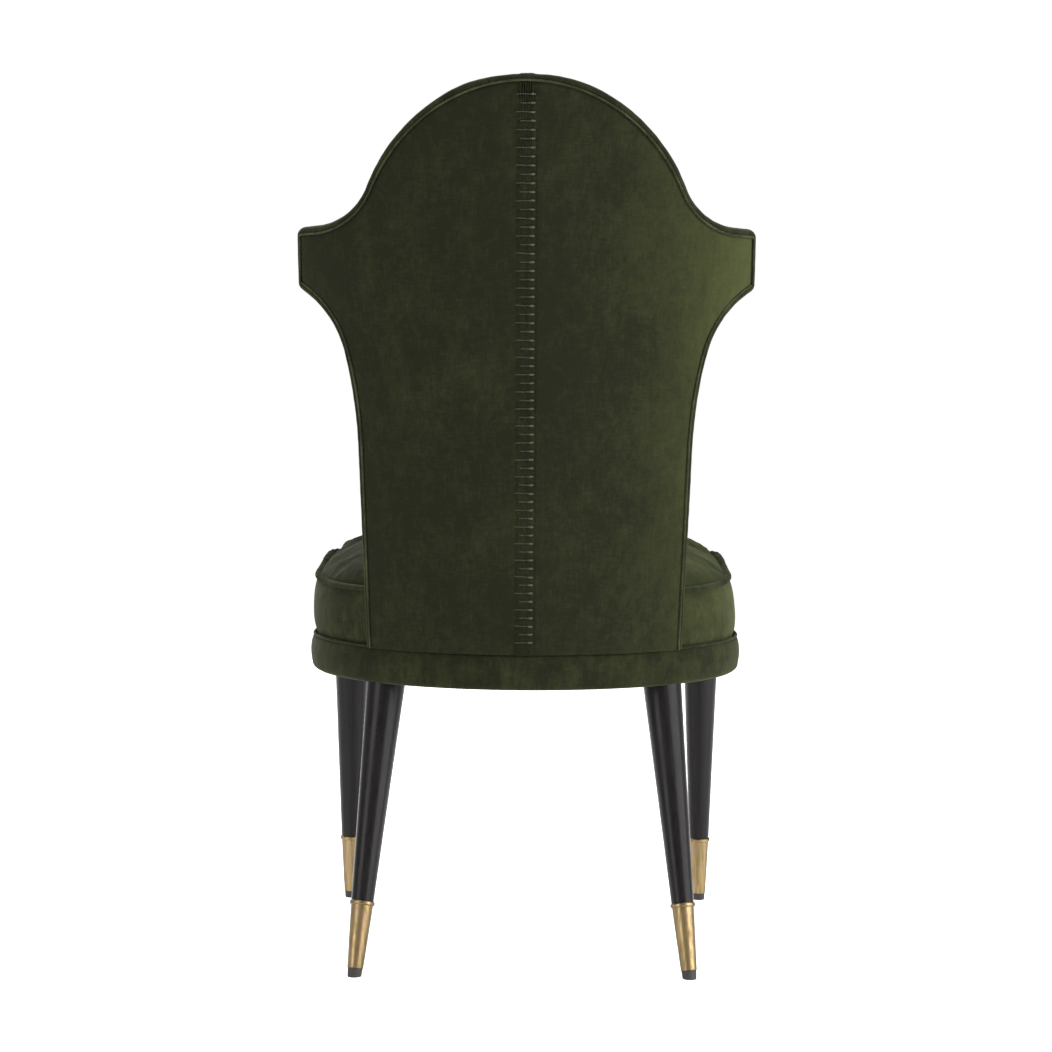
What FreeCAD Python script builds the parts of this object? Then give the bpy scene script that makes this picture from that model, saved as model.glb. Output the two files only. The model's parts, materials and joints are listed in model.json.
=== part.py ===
"""Dining chair with a tall curved back, short wings and brass-shod turned legs, one STEP file per piece.

Row frame: millimetres, +Z up, floor at z = 0, the sitter looks along -Y.
Left is -X and right is +X, as seen by someone who stands facing the front of the chair.
The origin lies on the floor under the middle of the chair's overall box.
"""
import FreeCAD, Part
import math
import os
from FreeCAD import Vector

os.makedirs("parts", exist_ok=True)

# ---- Overall sizes -------------------------------------------------------------------------------
overall_height = 1070.0
seat_width = 558.0
seat_depth = 525.0
band_bottom_height = 350.0
band_height = 42.0

# ---- Seat plan and cushion -----------------------------------------------------------------------
front_corner_radius = 60.0
front_bow_radius = 1400.0
boxing_rear_height = 66.0
boxing_datum = 100.0  # how far forward of the rear edge the rear boxing height is taken
seat_slope = 3.7  # degrees, the cushion rises towards the front
crown_rise = 45.0
crown_radius = 2110.0
crown_edge_round = 16.0
boxing_inset = 5.0
flange_proud = 6.0
flange_thickness = 3.0
cover_thickness = 2.0

# ---- Seat frame ----------------------------------------------------------------------------------
band_padding_thickness = 6.0
rail_width = 45.0
rear_rail_width = 60.0
rail_inner_corner = 20.0
corner_block_reach = 62.0
block_screw_place = 33.0  # how far along a corner block each screw goes in
block_screw_spread = 20.0  # between the heights of a block's two screws
webbing_width = 50.0
webbing_thickness = 1.5
webbing_landing = 26.0  # how far inside the band's face a strip of webbing ends
webbing_rear_room = 45.0  # between the inside of the back and the nearest strip
lengthwise_strips = 5
crosswise_strips = 5
deck_cloth_thickness = 0.8
dust_cover_thickness = 1.0
dust_cover_leg_gap = 1.0
tack_count = 24
tack_line_inset = 38.0  # from the band's face to the line of tacks
tack_head_diameter = 6.0
tack_head_height = 0.6
tack_shank_diameter = 1.6
tack_shank_length = 9.0
band_welt_proud = 1.5
band_welt_height = 3.0

# ---- Back: plan curve, outline and layers --------------------------------------------------------
recline = 8.5  # degrees, the back leans and opens like a cone standing on its small end
back_base_width = 389.3
side_flare = 1.9  # degrees from upright
sweep_break = 14.3  # degrees, where the long lower sweep meets the tight upper one
sweep_end = 53.4  # degrees
sweep_ratio = 3.93  # radius of the lower sweep over that of the upper one
sweep_lead = 7.0  # straight stretch between the upper sweep and the wing's lower corner
wing_span = 559.0
wing_drop = 166.5  # from the top of the back down to the wings' upper edge
wing_tip_height = 68.0
wing_lower_round = 14.0
wing_upper_round = 14.0
wing_top_lead = 11.0  # straight stretch of a wing's upper edge
arch_radius = 206.0
back_thickness = 58.0
outside_padding_thickness = 4.0
frame_thickness = 20.0
edge_padding_thickness = 4.0
frame_member_width = 40.0
bottom_rail_height = 50.0
lumbar_rail_centre = 650.0
lumbar_rail_height = 44.0
post_joint_drop = 367.0  # from the top down to the joint of post and wing
top_joint_drop = 134.0  # from the top down to the joint of wing and arched rail
edge_band_width = 8.5
piping_width = 2.4
piping_proud = 1.2
back_strips = 6
back_strip_height = 46.0
back_strip_landing = 16.0  # how far a strip reaches onto the posts
back_strip_first = 500.0
back_strip_last = 880.0
stitch_pitch = 10.0
stitch_long = 21.0
stitch_short = 16.6
stitch_width = 1.2
stitch_proud = 0.8
stitch_low_margin = 12.0
stitch_top_margin = 26.0
panel_seam_gap = 0.4
outline_near = 110.0  # how far behind the back's axis the outline's radial cut begins
outline_beyond = 60.0  # how far past the back's largest radius that cut ends
outline_points = 7  # places taken on each line or arc of the outline for that cut

# ---- Legs ----------------------------------------------------------------------------------------
leg_top_diameter = 48.0
leg_foot_diameter = 27.5
leg_inset = 28.5  # from the band's face to the axis at the top of a leg
rear_leg_angle = 43.0  # degrees round from the middle of the rear
rear_foot_out = 32.0
rear_foot_back = 93.5
front_leg_side_inset = 35.0
front_leg_front_inset = 59.0
ferrule_top = 87.0
ferrule_top_diameter = 27.0
ferrule_foot_diameter = 19.4
ferrule_wall = 1.6
ferrule_floor = 2.0
collar_diameter = 30.6
collar_height = 5.0
collar_round = 1.4
glide_height = 9.5
glide_top_diameter = 18.6
glide_foot_diameter = 16.6
glide_screw_diameter = 4.0
glide_screw_length = 26.0
hanger_bolt_diameter = 8.0
hanger_bolt_in_leg = 38.0
hanger_bolt_in_rail = 22.0
insert_diameter = 14.0
insert_length = 24.0

# ---- Other fasteners -----------------------------------------------------------------------------
dowel_diameter = 8.0
dowel_length = 40.0
rail_dowel_height = 30.0  # above the underside of the seat rails
rail_dowel_spread = 18.0
block_screw_diameter = 4.5
block_screw_length = 42.0
back_bolt_diameter = 8.0
back_bolt_in_back = 34.0
back_bolt_head_diameter = 14.0
back_bolt_head_height = 6.0
back_bolt_recess_diameter = 20.0
back_bolt_recess_depth = 10.0
back_bolt_recess_run = 30.0  # length of the cutter that opens the recess from below
back_washer_diameter = 18.0
back_washer_thickness = 1.5
back_bolt_angles = (-24.0, -8.0, 8.0, 24.0)

# ---- Clearances ----------------------------------------------------------------------------------
fit_gap = 0.15
cushion_gap = 1.0

# ---- Worked out from the sizes above -------------------------------------------------------------
seat_radius = seat_width / 2
band_top = band_bottom_height + band_height
rail_bottom = band_bottom_height + cover_thickness
rail_inset = cover_thickness + band_padding_thickness
lean = math.tan(math.radians(recline))
slant = 1 / math.cos(math.radians(recline))
back_overhang = (overall_height - band_top) * lean
rear_y = (seat_depth + band_welt_proud - back_overhang) / 2
front_y = rear_y - seat_depth
centre_y = rear_y - seat_radius
cover_base = band_top + band_welt_height
frame_depth = cover_thickness + outside_padding_thickness
frame_front_depth = frame_depth + frame_thickness
back_outline_bottom = band_top
wing_top = overall_height - wing_drop
deck_bottom = band_top + 2 * webbing_thickness
foam_bottom = deck_bottom + deck_cloth_thickness + fit_gap
reach = 2 * overall_height


def export(name, shape):
    """Writes one node."""
    shape.exportStep("parts/" + name + ".step")
    print(name, len(shape.Solids), round(shape.Volume / 1000, 1), shape.isValid())


def slab(low, high):
    """Everything between two heights."""
    block = Part.makeBox(2 * reach, 2 * reach, high - low)
    block.translate(Vector(-reach, -reach, low))
    return block


def side_of(x_from, x_to):
    """Everything between two places along X."""
    block = Part.makeBox(x_to - x_from, 2 * reach, 2 * reach)
    block.translate(Vector(x_from, -reach, -reach))
    return block


def behind(y_from):
    """Everything on the rear side of a place along Y."""
    block = Part.makeBox(2 * reach, 2 * reach, 2 * reach)
    block.translate(Vector(-reach, y_from, -reach))
    return block


def rod(start, direction, diameter, length):
    return Part.makeCylinder(diameter / 2, length, start, direction)


def fused(solids):
    whole = solids[0]
    for one in solids[1:]:
        whole = whole.fuse(one)
    return whole


# ---- Seat plan: half circle at the rear, straight sides, rounded corners and a bowed front -------
def seat_outline(inset, corner):
    """Closed wire of the seat's plan at z = 0, drawn in by inset, with its own corner radius."""
    half = seat_radius - inset
    bow = front_bow_radius - inset
    bow_centre_y = front_y + front_bow_radius
    corner_x = half - corner
    corner_y = bow_centre_y - math.sqrt((bow - corner) ** 2 - corner_x**2)
    along = Vector(corner_x, corner_y - bow_centre_y, 0) * (1 / (bow - corner))
    touch = Vector(0, bow_centre_y, 0) + along * bow
    to_corner = along + Vector(1, 0, 0)
    to_corner.normalize()
    mid = Vector(corner_x, corner_y, 0) + to_corner * corner
    rear = Part.Arc(Vector(half, centre_y, 0), Vector(0, centre_y + half, 0), Vector(-half, centre_y, 0))
    front = Part.Arc(touch, Vector(0, bow_centre_y - bow, 0), mirrored(touch))
    right_side = Part.LineSegment(Vector(half, corner_y, 0), Vector(half, centre_y, 0))
    right_corner = Part.Arc(touch, mid, Vector(half, corner_y, 0))
    left_side = Part.LineSegment(Vector(-half, centre_y, 0), Vector(-half, corner_y, 0))
    left_corner = Part.Arc(Vector(-half, corner_y, 0), mirrored(mid), mirrored(touch))
    order = (rear, left_side, left_corner, front, right_corner, right_side)
    return Part.Wire([curve.toShape() for curve in order])


def mirrored(point):
    return Vector(-point.x, point.y, point.z)


def seat_block(inset, low, high, corner=None):
    """Upright block of the seat's plan between two heights."""
    own_corner = front_corner_radius - inset if corner is None else corner
    wire = seat_outline(inset, own_corner)
    wire.translate(Vector(0, 0, low))
    return Part.Face(wire).extrude(Vector(0, 0, high - low))


def seat_ring(outer_inset, inner_inset, low, high):
    return seat_block(outer_inset, low, high).cut(seat_block(inner_inset, low, high))


# ---- Tilted seam plane of the cushion ------------------------------------------------------------
def tilted_slab(low, high):
    """Everything between two offsets from the plane of the cushion's top seam."""
    block = Part.makeBox(2 * reach, 2 * reach, high - low)
    block.translate(Vector(-reach, -reach, low))
    block.rotate(Vector(0, 0, 0), Vector(1, 0, 0), -seat_slope)
    block.translate(Vector(0, rear_y - boxing_datum, band_top + boxing_rear_height))
    return block


def cushion_block(inset, depth):
    """The domed cushion under its cover, drawn in at the sides by inset and at the top by depth."""
    normal = Vector(0, math.sin(math.radians(seat_slope)), math.cos(math.radians(seat_slope)))
    middle_y = rear_y - seat_depth / 2
    datum_drop = (rear_y - boxing_datum - middle_y) * math.tan(math.radians(seat_slope))
    middle = Vector(0, middle_y, band_top + boxing_rear_height + datum_drop)
    ball_centre = middle + normal * (crown_rise - crown_radius)
    ball = Part.makeSphere(crown_radius - depth, ball_centre)
    top_room = band_top + boxing_rear_height + seat_depth * math.sin(math.radians(seat_slope)) + crown_rise
    domed = seat_block(inset, foam_bottom, top_room).common(ball)
    crown = max(domed.Faces, key=lambda face: face.CenterOfMass.z)
    return domed.makeFillet(crown_edge_round - depth, crown.Edges)


# ---- Back: a conical shell cut along lines that run out from its upright axis --------------------
def back_radius(height):
    """Radius of the back's outer face round the axis, at a height."""
    return seat_radius + (height - band_top) * lean


def cone(depth, low, high):
    """Solid cone whose face lies depth inside the back's outer face."""
    low_radius = back_radius(low) - depth * slant
    high_radius = back_radius(high) - depth * slant
    return Part.makeCone(low_radius, high_radius, high - low, Vector(0, centre_y, low))


def back_shell(outer_depth, inner_depth, low=None):
    base = band_top if low is None else low
    top = overall_height + back_thickness
    return cone(outer_depth, base, top).cut(cone(inner_depth, base - 1, top + 1))


def arc_points(centre, radius, first, last):
    """Start, middle and end of an arc in the XZ plane, angles in degrees."""
    angles = [math.radians(a) for a in (first, (first + last) / 2, last)]
    return [Vector(centre.x + radius * math.cos(a), 0, centre.z + radius * math.sin(a)) for a in angles]


def heading(angle):
    """Unit vector in the XZ plane, leaning outward from upright by an angle in degrees."""
    return Vector(math.sin(math.radians(angle)), 0, math.cos(math.radians(angle)))


def back_outline(inset):
    """Edges of the back's outline seen square on from behind, drawn in by inset except at its base."""
    tip_x = wing_span / 2
    tip_low = Vector(tip_x, 0, wing_top - wing_tip_height)
    base = Vector(back_base_width / 2, 0, back_outline_bottom)
    up = heading(side_flare)
    out = heading(sweep_end)
    # the side line and the wing's underside meet at a corner that the two sweeps round off
    gap = tip_low - base
    along_side = (gap.x * out.z - gap.z * out.x) / (up.x * out.z - up.z * out.x)
    corner = base + up * along_side
    room = (tip_low - corner).Length - wing_lower_round * math.tan(math.radians(sweep_end / 2)) - sweep_lead
    a, b, c = (math.radians(angle) for angle in (side_flare, sweep_break, sweep_end))
    unit_x = sweep_ratio * (math.cos(a) - math.cos(b)) + math.cos(b) - math.cos(c)
    unit_z = sweep_ratio * (math.sin(b) - math.sin(a)) + math.sin(c) - math.sin(b)
    after_corner = (unit_x * up.z - unit_z * up.x) / (out.x * up.z - out.z * up.x)
    before_corner = (unit_x - after_corner * out.x) / up.x
    upper = room / after_corner
    lower = upper * sweep_ratio
    lower_centre = corner - up * (before_corner * upper) + Vector(up.z, 0, -up.x) * lower
    break_normal = Vector(heading(sweep_break).z, 0, -heading(sweep_break).x)
    upper_centre = lower_centre - break_normal * (lower - upper)
    low_round_centre = Vector(tip_x - wing_lower_round, 0, 0)
    low_round_centre.z = tip_low.z + wing_lower_round * math.tan(math.radians(sweep_end / 2))
    high_round_centre = Vector(tip_x - wing_upper_round, 0, wing_top - wing_upper_round)
    arch_centre = Vector(0, 0, overall_height - arch_radius)
    shoulder_x = tip_x - wing_upper_round - wing_top_lead
    shoulder_rise = wing_top - arch_centre.z
    shoulder = (shoulder_x**2 + shoulder_rise**2 - arch_radius**2) / (2 * (arch_radius - shoulder_rise))
    shoulder_centre = Vector(shoulder_x, 0, wing_top + shoulder)
    arch_end = math.degrees(math.atan2(shoulder_centre.z - arch_centre.z, shoulder_x))
    arcs = (
        arc_points(lower_centre, lower + inset, 180 - side_flare, 180 - sweep_break),
        arc_points(upper_centre, upper + inset, 180 - sweep_break, 180 - sweep_end),
        arc_points(low_round_centre, wing_lower_round - inset, -sweep_end, 0),
        arc_points(high_round_centre, wing_upper_round - inset, 0, 90),
        arc_points(shoulder_centre, shoulder + inset, 270, 180 + arch_end),
    )
    # arcs one and two share a point, every other pair is joined by a straight stretch
    foot = base - Vector(inset / up.z, 0, 0)
    right = []
    at = foot
    for points in arcs:
        if at.distanceToPoint(points[0]) > 1e-6:
            right.append(Part.LineSegment(at, points[0]).toShape())
        right.append(Part.Arc(*points).toShape())
        at = points[2]
    top = arc_points(arch_centre, arch_radius - inset, arch_end, 180 - arch_end)
    left = [edge.mirror(Vector(0, 0, 0), Vector(1, 0, 0)) for edge in reversed(right)]
    floor = Part.LineSegment(mirrored(foot), foot).toShape()
    return right + [Part.Arc(*top).toShape()] + left + [floor]


def radial_solid(outline):
    """Solid swept from an outline along level lines that all run to the back's upright axis."""
    far = back_radius(overall_height) + outline_beyond
    wires = []
    for reach_out in (outline_near, far):
        edges = []
        for edge in outline:
            # each point keeps its height and slides along its own line to the wanted distance
            places = []
            for p in edge.discretize(Number=outline_points):
                forward = math.sqrt(back_radius(p.z) ** 2 - p.x**2)
                places.append(Vector(reach_out * p.x / forward, centre_y + reach_out, p.z))
            curve = Part.BSplineCurve()
            curve.interpolate(places)
            edges.append(curve.toShape())
        wires.append(Part.Wire(Part.__sortEdges__(edges)))
    return Part.makeLoft(wires, True, True)


def back_layer(body, outer_depth, inner_depth, low=None):
    return body.common(back_shell(outer_depth, inner_depth, low))


def back_point(x, height, depth):
    """Point in the back at a depth below its outer face."""
    radius = back_radius(height) - depth * slant
    return Vector(x, centre_y + math.sqrt(radius**2 - x**2), height)


def rise_direction(x, height):
    """Direction that runs up the leaning back at a point."""
    turn = math.asin(x / back_radius(height))
    tilt = math.radians(recline)
    return Vector(math.sin(turn) * math.sin(tilt), math.cos(turn) * math.sin(tilt), math.cos(tilt))


def round_direction(x, height):
    """Level direction that runs round the back at a point."""
    turn = math.asin(x / back_radius(height))
    return Vector(math.cos(turn), -math.sin(turn), 0)


def centred_rod(middle, direction, diameter, length):
    return rod(middle - direction * (length / 2), direction, diameter, length)


# ---- Legs ----------------------------------------------------------------------------------------
def leg_axes():
    """Name, top point at the rail's underside and foot point on the floor, for each leg."""
    turn = math.radians(rear_leg_angle)
    out = seat_radius - leg_inset
    rear_top = Vector(out * math.sin(turn), centre_y + out * math.cos(turn), rail_bottom)
    rear_foot = Vector(rear_top.x + rear_foot_out, rear_top.y + rear_foot_back, 0)
    front_top = Vector(seat_radius - front_leg_side_inset, front_y + front_leg_front_inset, rail_bottom)
    front_foot = Vector(front_top.x, front_top.y, 0)
    axes = []
    for place, top, foot in (("rear", rear_top, rear_foot), ("front", front_top, front_foot)):
        axes.append((place + "_right", top, foot))
        axes.append((place + "_left", mirrored(top), mirrored(foot)))
    return axes


def along_leg(foot, up, low, high, low_diameter, high_diameter):
    """Tapered length of a leg between two distances up its axis."""
    if abs(low_diameter - high_diameter) < 1e-9:
        return Part.makeCylinder(low_diameter / 2, high - low, foot + up * low, up)
    return Part.makeCone(low_diameter / 2, high_diameter / 2, high - low, foot + up * low, up)


def taper(low, high, low_diameter, high_diameter, at):
    """Diameter of a straight taper at a distance along it."""
    return low_diameter + (high_diameter - low_diameter) * (at - low) / (high - low)


def build_legs():
    """Legs, ferrules with their collars, glides, and the metal that holds each leg to its rail."""
    screws, bolts, inserts, holes = [], [], [], []
    for name, top, foot in leg_axes():
        up = top - foot
        length = up.Length
        up.normalize()
        steep = up.z
        glide_top = glide_height / steep
        collar_top = ferrule_top / steep
        collar_low = collar_top - collar_height
        overrun = leg_top_diameter
        floor_top = glide_top + ferrule_floor
        end_diameter = taper(collar_top, length, leg_foot_diameter, leg_top_diameter, length + overrun)
        shaft = along_leg(foot, up, collar_top, length + overrun, leg_foot_diameter, end_diameter)
        shaft = shaft.common(slab(0, rail_bottom))
        bore_top = ferrule_top_diameter - 2 * ferrule_wall
        bore_foot = ferrule_foot_diameter - 2 * ferrule_wall
        bore = along_leg(foot, up, floor_top, collar_top, bore_foot, bore_top)
        spigot = along_leg(
            foot, up, floor_top + fit_gap, collar_top, bore_foot - 2 * fit_gap, bore_top - 2 * fit_gap
        )
        body = along_leg(foot, up, glide_top, collar_low, ferrule_foot_diameter, ferrule_top_diameter)
        collar = along_leg(foot, up, collar_low, collar_top, collar_diameter, collar_diameter)
        rims = [edge for edge in collar.Edges if edge.isClosed()]
        collar = collar.makeFillet(collar_round, rims)
        screw_start = glide_top - ferrule_floor
        screw = rod(foot + up * screw_start, up, glide_screw_diameter, glide_screw_length)
        screw_hole = rod(
            foot + up * screw_start, up, glide_screw_diameter + 2 * fit_gap, glide_screw_length + fit_gap
        )
        glide_low = -glide_top
        glide_low_diameter = taper(0, glide_top, glide_foot_diameter, glide_top_diameter, glide_low)
        glide = along_leg(foot, up, glide_low, glide_top, glide_low_diameter, glide_top_diameter)
        glide = glide.common(slab(0, rail_bottom))
        bolt_low = length - hanger_bolt_in_leg
        bolt_length = hanger_bolt_in_leg + hanger_bolt_in_rail
        bolt = rod(foot + up * bolt_low, up, hanger_bolt_diameter, bolt_length)
        bolt_hole = rod(
            foot + up * (bolt_low - fit_gap), up, hanger_bolt_diameter + 2 * fit_gap, bolt_length + 2 * fit_gap
        )
        insert_low = length - insert_diameter
        insert_hole = rod(foot + up * insert_low, up, insert_diameter, insert_length + insert_diameter)
        insert = insert_hole.common(slab(rail_bottom, band_top))
        export("leg_" + name, shaft.fuse(spigot).cut(fused([screw_hole, bolt_hole])))
        export("ferrule_" + name, body.fuse(collar).cut(bore).cut(screw_hole))
        export("glide_" + name, glide.cut(screw_hole))
        screws.append(screw)
        bolts.append(bolt)
        inserts.append(insert.cut(bolt_hole))
        holes.append(insert_hole.fuse(bolt_hole))
    export("glide_screws", Part.makeCompound(screws))
    export("leg_hanger_bolts", Part.makeCompound(bolts))
    export("leg_threaded_inserts", Part.makeCompound(inserts))
    return fused(holes)


# ---- Seat frame ----------------------------------------------------------------------------------
def rail_joint_dowels():
    """Dowels across the joints between the rear, side and front rails."""
    corner_y = seat_outline(rail_inset, front_corner_radius - rail_inset).Edges[1].Vertexes[1].Y
    dowels = []
    for joint_y in (centre_y, corner_y):
        for side in (-1, 1):
            for offset in (-rail_dowel_spread / 2, rail_dowel_spread / 2):
                x = side * (seat_radius - rail_inset - rail_width / 2 + offset)
                middle = Vector(x, joint_y, rail_bottom + rail_dowel_height)
                dowels.append(centred_rod(middle, Vector(0, 1, 0), dowel_diameter, dowel_length))
    return dowels, corner_y


def corner_blocks():
    """Glued blocks inside the two front corners, and the screws that hold them."""
    inside = rail_inset + rail_width
    filled = seat_block(inside, rail_bottom, band_top, rail_inner_corner)
    inner_x = seat_radius - inside
    inner_y = front_y + inside
    blocks, screws = {}, []
    for name, side in (("right", 1), ("left", -1)):
        points = [
            Vector(side * (inner_x - corner_block_reach), inner_y - inside, rail_bottom),
            Vector(side * (inner_x + inside), inner_y - inside, rail_bottom),
            Vector(side * (inner_x + inside), inner_y + corner_block_reach, rail_bottom),
            Vector(side * inner_x, inner_y + corner_block_reach, rail_bottom),
            Vector(side * (inner_x - corner_block_reach), inner_y, rail_bottom),
        ]
        wedge = Part.Face(Part.makePolygon(points + points[:1])).extrude(Vector(0, 0, band_top - rail_bottom))
        blocks[name] = filled.common(wedge)
        middle_z = (rail_bottom + band_top) / 2
        half_spread = block_screw_spread / 2
        to_side = Vector(side * inner_x, inner_y + block_screw_place, middle_z - half_spread)
        to_front = Vector(side * (inner_x - block_screw_place), inner_y, middle_z + half_spread)
        screws.append(centred_rod(to_side, Vector(1, 0, 0), block_screw_diameter, block_screw_length))
        screws.append(centred_rod(to_front, Vector(0, 1, 0), block_screw_diameter, block_screw_length))
    return blocks, screws


def dust_cover_tacks():
    """Round-headed tacks spaced evenly under the edge of the dust cover, clear of the legs."""
    line = seat_outline(tack_line_inset, front_corner_radius - tack_line_inset)
    tacks, shanks = [], []
    head_low = rail_bottom - dust_cover_thickness - tack_head_height
    clear = leg_top_diameter / 2 + tack_head_diameter
    for place in line.discretize(Number=tack_count + 1)[:-1]:
        start = Vector(place.x, place.y, head_low)
        if min(math.hypot(top.x - place.x, top.y - place.y) for _, top, _ in leg_axes()) < clear:
            continue
        head = rod(start, Vector(0, 0, 1), tack_head_diameter, tack_head_height)
        shank = rod(start, Vector(0, 0, 1), tack_shank_diameter, tack_shank_length)
        tacks.append(head.fuse(shank))
        shanks.append(shank)
    return tacks, shanks


def back_bolts():
    """Bolts that rise through the rear rail into the back's bottom rail, their washers and holes."""
    bolts, washers, holes = [], [], []
    depth = frame_depth + frame_thickness / 2
    for angle in back_bolt_angles:
        radius = seat_radius - depth * slant
        x = radius * math.sin(math.radians(angle))
        joint = back_point(x, band_top, depth)
        up = rise_direction(x, band_top)
        drop = (band_top - rail_bottom) / up.z
        recess_top = joint - up * (drop - back_bolt_recess_depth)
        seat = recess_top - up * back_washer_thickness
        shaft_length = drop - back_bolt_recess_depth + back_washer_thickness + back_bolt_in_back
        shaft = rod(seat, up, back_bolt_diameter, shaft_length)
        head_start = seat - up * back_bolt_head_height
        bolts.append(rod(head_start, up, back_bolt_head_diameter, back_bolt_head_height).fuse(shaft))
        ring = rod(seat, up, back_washer_diameter, back_washer_thickness)
        hole = rod(seat, up, back_bolt_diameter + 2 * fit_gap, shaft_length + fit_gap)
        washers.append(ring.cut(hole))
        recess_start = recess_top - up * back_bolt_recess_run
        recess = rod(recess_start, up, back_bolt_recess_diameter, back_bolt_recess_run)
        holes.append(recess.fuse(hole))
    return bolts, washers, holes


def build_seat_frame(leg_holes):
    dowels, corner_y = rail_joint_dowels()
    blocks, block_screws = corner_blocks()
    tacks, shanks = dust_cover_tacks()
    bolts, washers, bolt_holes = back_bolts()
    ring = seat_block(rail_inset, rail_bottom, band_top)
    window = seat_block(rail_inset + rail_width, rail_bottom, band_top, rail_inner_corner)
    wide_window = rod(
        Vector(0, centre_y, rail_bottom),
        Vector(0, 0, 1),
        2 * (seat_radius - rail_inset - rear_rail_width),
        band_top - rail_bottom,
    )
    rear = ring.common(behind(centre_y)).cut(wide_window)
    rest = ring.cut(window).cut(behind(centre_y))
    front = rest.cut(behind(corner_y))
    sides = rest.common(behind(corner_y))
    holes = fused(dowels).fuse(fused(block_screws)).fuse(Part.makeCompound(shanks)).fuse(leg_holes)
    export("seat_rail_rear", rear.cut(holes).cut(fused(bolt_holes)))
    export("seat_rail_front", front.cut(holes))
    export("seat_rail_right", sides.common(side_of(0, reach)).cut(holes))
    export("seat_rail_left", sides.common(side_of(-reach, 0)).cut(holes))
    for name, block in blocks.items():
        export("corner_block_" + name, block.cut(fused(block_screws)))
    export("seat_rail_dowels", Part.makeCompound(dowels))
    export("corner_block_screws", Part.makeCompound(block_screws))
    export("back_bolts", Part.makeCompound(bolts))
    export("back_bolt_washers", Part.makeCompound(washers))
    export("dust_cover_tacks", Part.makeCompound(tacks))
    cloth = seat_block(cover_thickness + fit_gap, rail_bottom - dust_cover_thickness, rail_bottom)
    for _, top, foot in leg_axes():
        up = top - foot
        up.normalize()
        width = leg_top_diameter + 2 * dust_cover_leg_gap
        cloth = cloth.cut(rod(top - up * leg_top_diameter, up, width, 2 * leg_top_diameter))
    export("dust_cover", cloth.cut(Part.makeCompound(shanks)))
    return fused(bolt_holes)


# ---- Seat upholstery -----------------------------------------------------------------------------
def strips_across(count, span, first_low, width, lengthwise, low, high):
    """Evenly spaced strips of webbing."""
    found = []
    pitch = span / count
    for i in range(count):
        middle = first_low + (i + 0.5) * pitch
        strip = Part.makeBox(width, 2 * reach, high - low)
        strip.translate(Vector(-width / 2, -reach, low))
        if lengthwise:
            strip.translate(Vector(middle, 0, 0))
        else:
            strip.rotate(Vector(0, 0, 0), Vector(0, 0, 1), 90)
            strip.translate(Vector(0, middle, 0))
        found.append(strip)
    return found


def build_seat_covers(back_room):
    landing = seat_block(webbing_landing, band_top, foam_bottom, rail_inner_corner)
    landing = landing.cut(back_room)
    width = 2 * (seat_radius - rail_inset - rail_width)
    middle_top = band_top + webbing_thickness
    crossing_top = band_top + 2 * webbing_thickness
    lengthwise = strips_across(
        lengthwise_strips, width, -width / 2, webbing_width, True, band_top, middle_top
    )
    clear_depth = seat_depth - rail_inset - rail_width - back_thickness - webbing_rear_room
    crosswise = strips_across(
        crosswise_strips, clear_depth, front_y + rail_inset + rail_width, webbing_width, False,
        middle_top, crossing_top,
    )
    export("seat_webbing_lengthwise", Part.makeCompound([landing.common(s) for s in lengthwise]))
    export("seat_webbing_crosswise", Part.makeCompound([landing.common(s) for s in crosswise]))
    export("seat_deck_cloth", landing.common(slab(deck_bottom, deck_bottom + deck_cloth_thickness)))

    foam_inset = boxing_inset + cover_thickness
    foam = cushion_block(foam_inset, cover_thickness)
    skin = cushion_block(boxing_inset, 0).cut(foam)
    half_flange = flange_thickness / 2
    export("seat_foam", foam.cut(back_room))
    above = tilted_slab(half_flange, reach)
    export("seat_top_cover", skin.common(above).cut(back_room))
    below = tilted_slab(-reach, -half_flange)
    boxing = seat_ring(boxing_inset, foam_inset, cover_base, band_top + seat_depth).common(below)
    export("seat_boxing", boxing.cut(back_room))
    flange = seat_ring(boxing_inset - flange_proud, foam_inset, band_top, band_top + seat_depth)
    flange = flange.common(tilted_slab(-half_flange, half_flange))
    export("seat_flange_welt", flange.cut(back_room))

    export("base_band_padding", seat_ring(cover_thickness, rail_inset, rail_bottom, band_top))
    export("base_band_cover", seat_ring(0, cover_thickness, band_bottom_height, band_top))
    export("base_band_welt", seat_ring(-band_welt_proud, boxing_inset, band_top, cover_base))


# ---- Back frame and upholstery -------------------------------------------------------------------
def window_half_width(height):
    """Half the clear width between the posts, which rises with the flare of the sides."""
    flare = math.tan(math.radians(side_flare))
    return back_base_width / 2 - frame_member_width + (height - band_top) * flare


def window_outline(lap=0.0):
    """Opening inside the back frame, from its base to the arched top rail, let out by a lap."""
    arch_z = overall_height - arch_radius
    low = Vector(window_half_width(band_top) + lap, 0, back_outline_bottom)
    high = Vector(arch_radius - frame_member_width + lap, 0, arch_z)
    top = Vector(0, 0, overall_height - frame_member_width + lap)
    return [
        Part.LineSegment(low, high).toShape(),
        Part.Arc(high, top, mirrored(high)).toShape(),
        Part.LineSegment(mirrored(high), mirrored(low)).toShape(),
        Part.LineSegment(mirrored(low), low).toShape(),
    ]


def window_x(height):
    """Half the opening's width at a height below its arch."""
    arch_z = overall_height - arch_radius
    low = window_half_width(band_top)
    return low + (arch_radius - frame_member_width - low) * (height - band_top) / (arch_z - band_top)


def outline_x(outline, height):
    """Outer half width of an outline at a height."""
    level = Part.makeLine(Vector(0, 0, height), Vector(reach, 0, height))
    hits = [level.distToShape(edge) for edge in outline]
    return max(pair[0].x for distance, pairs, _ in hits if distance < 1e-6 for pair in pairs)


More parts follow.
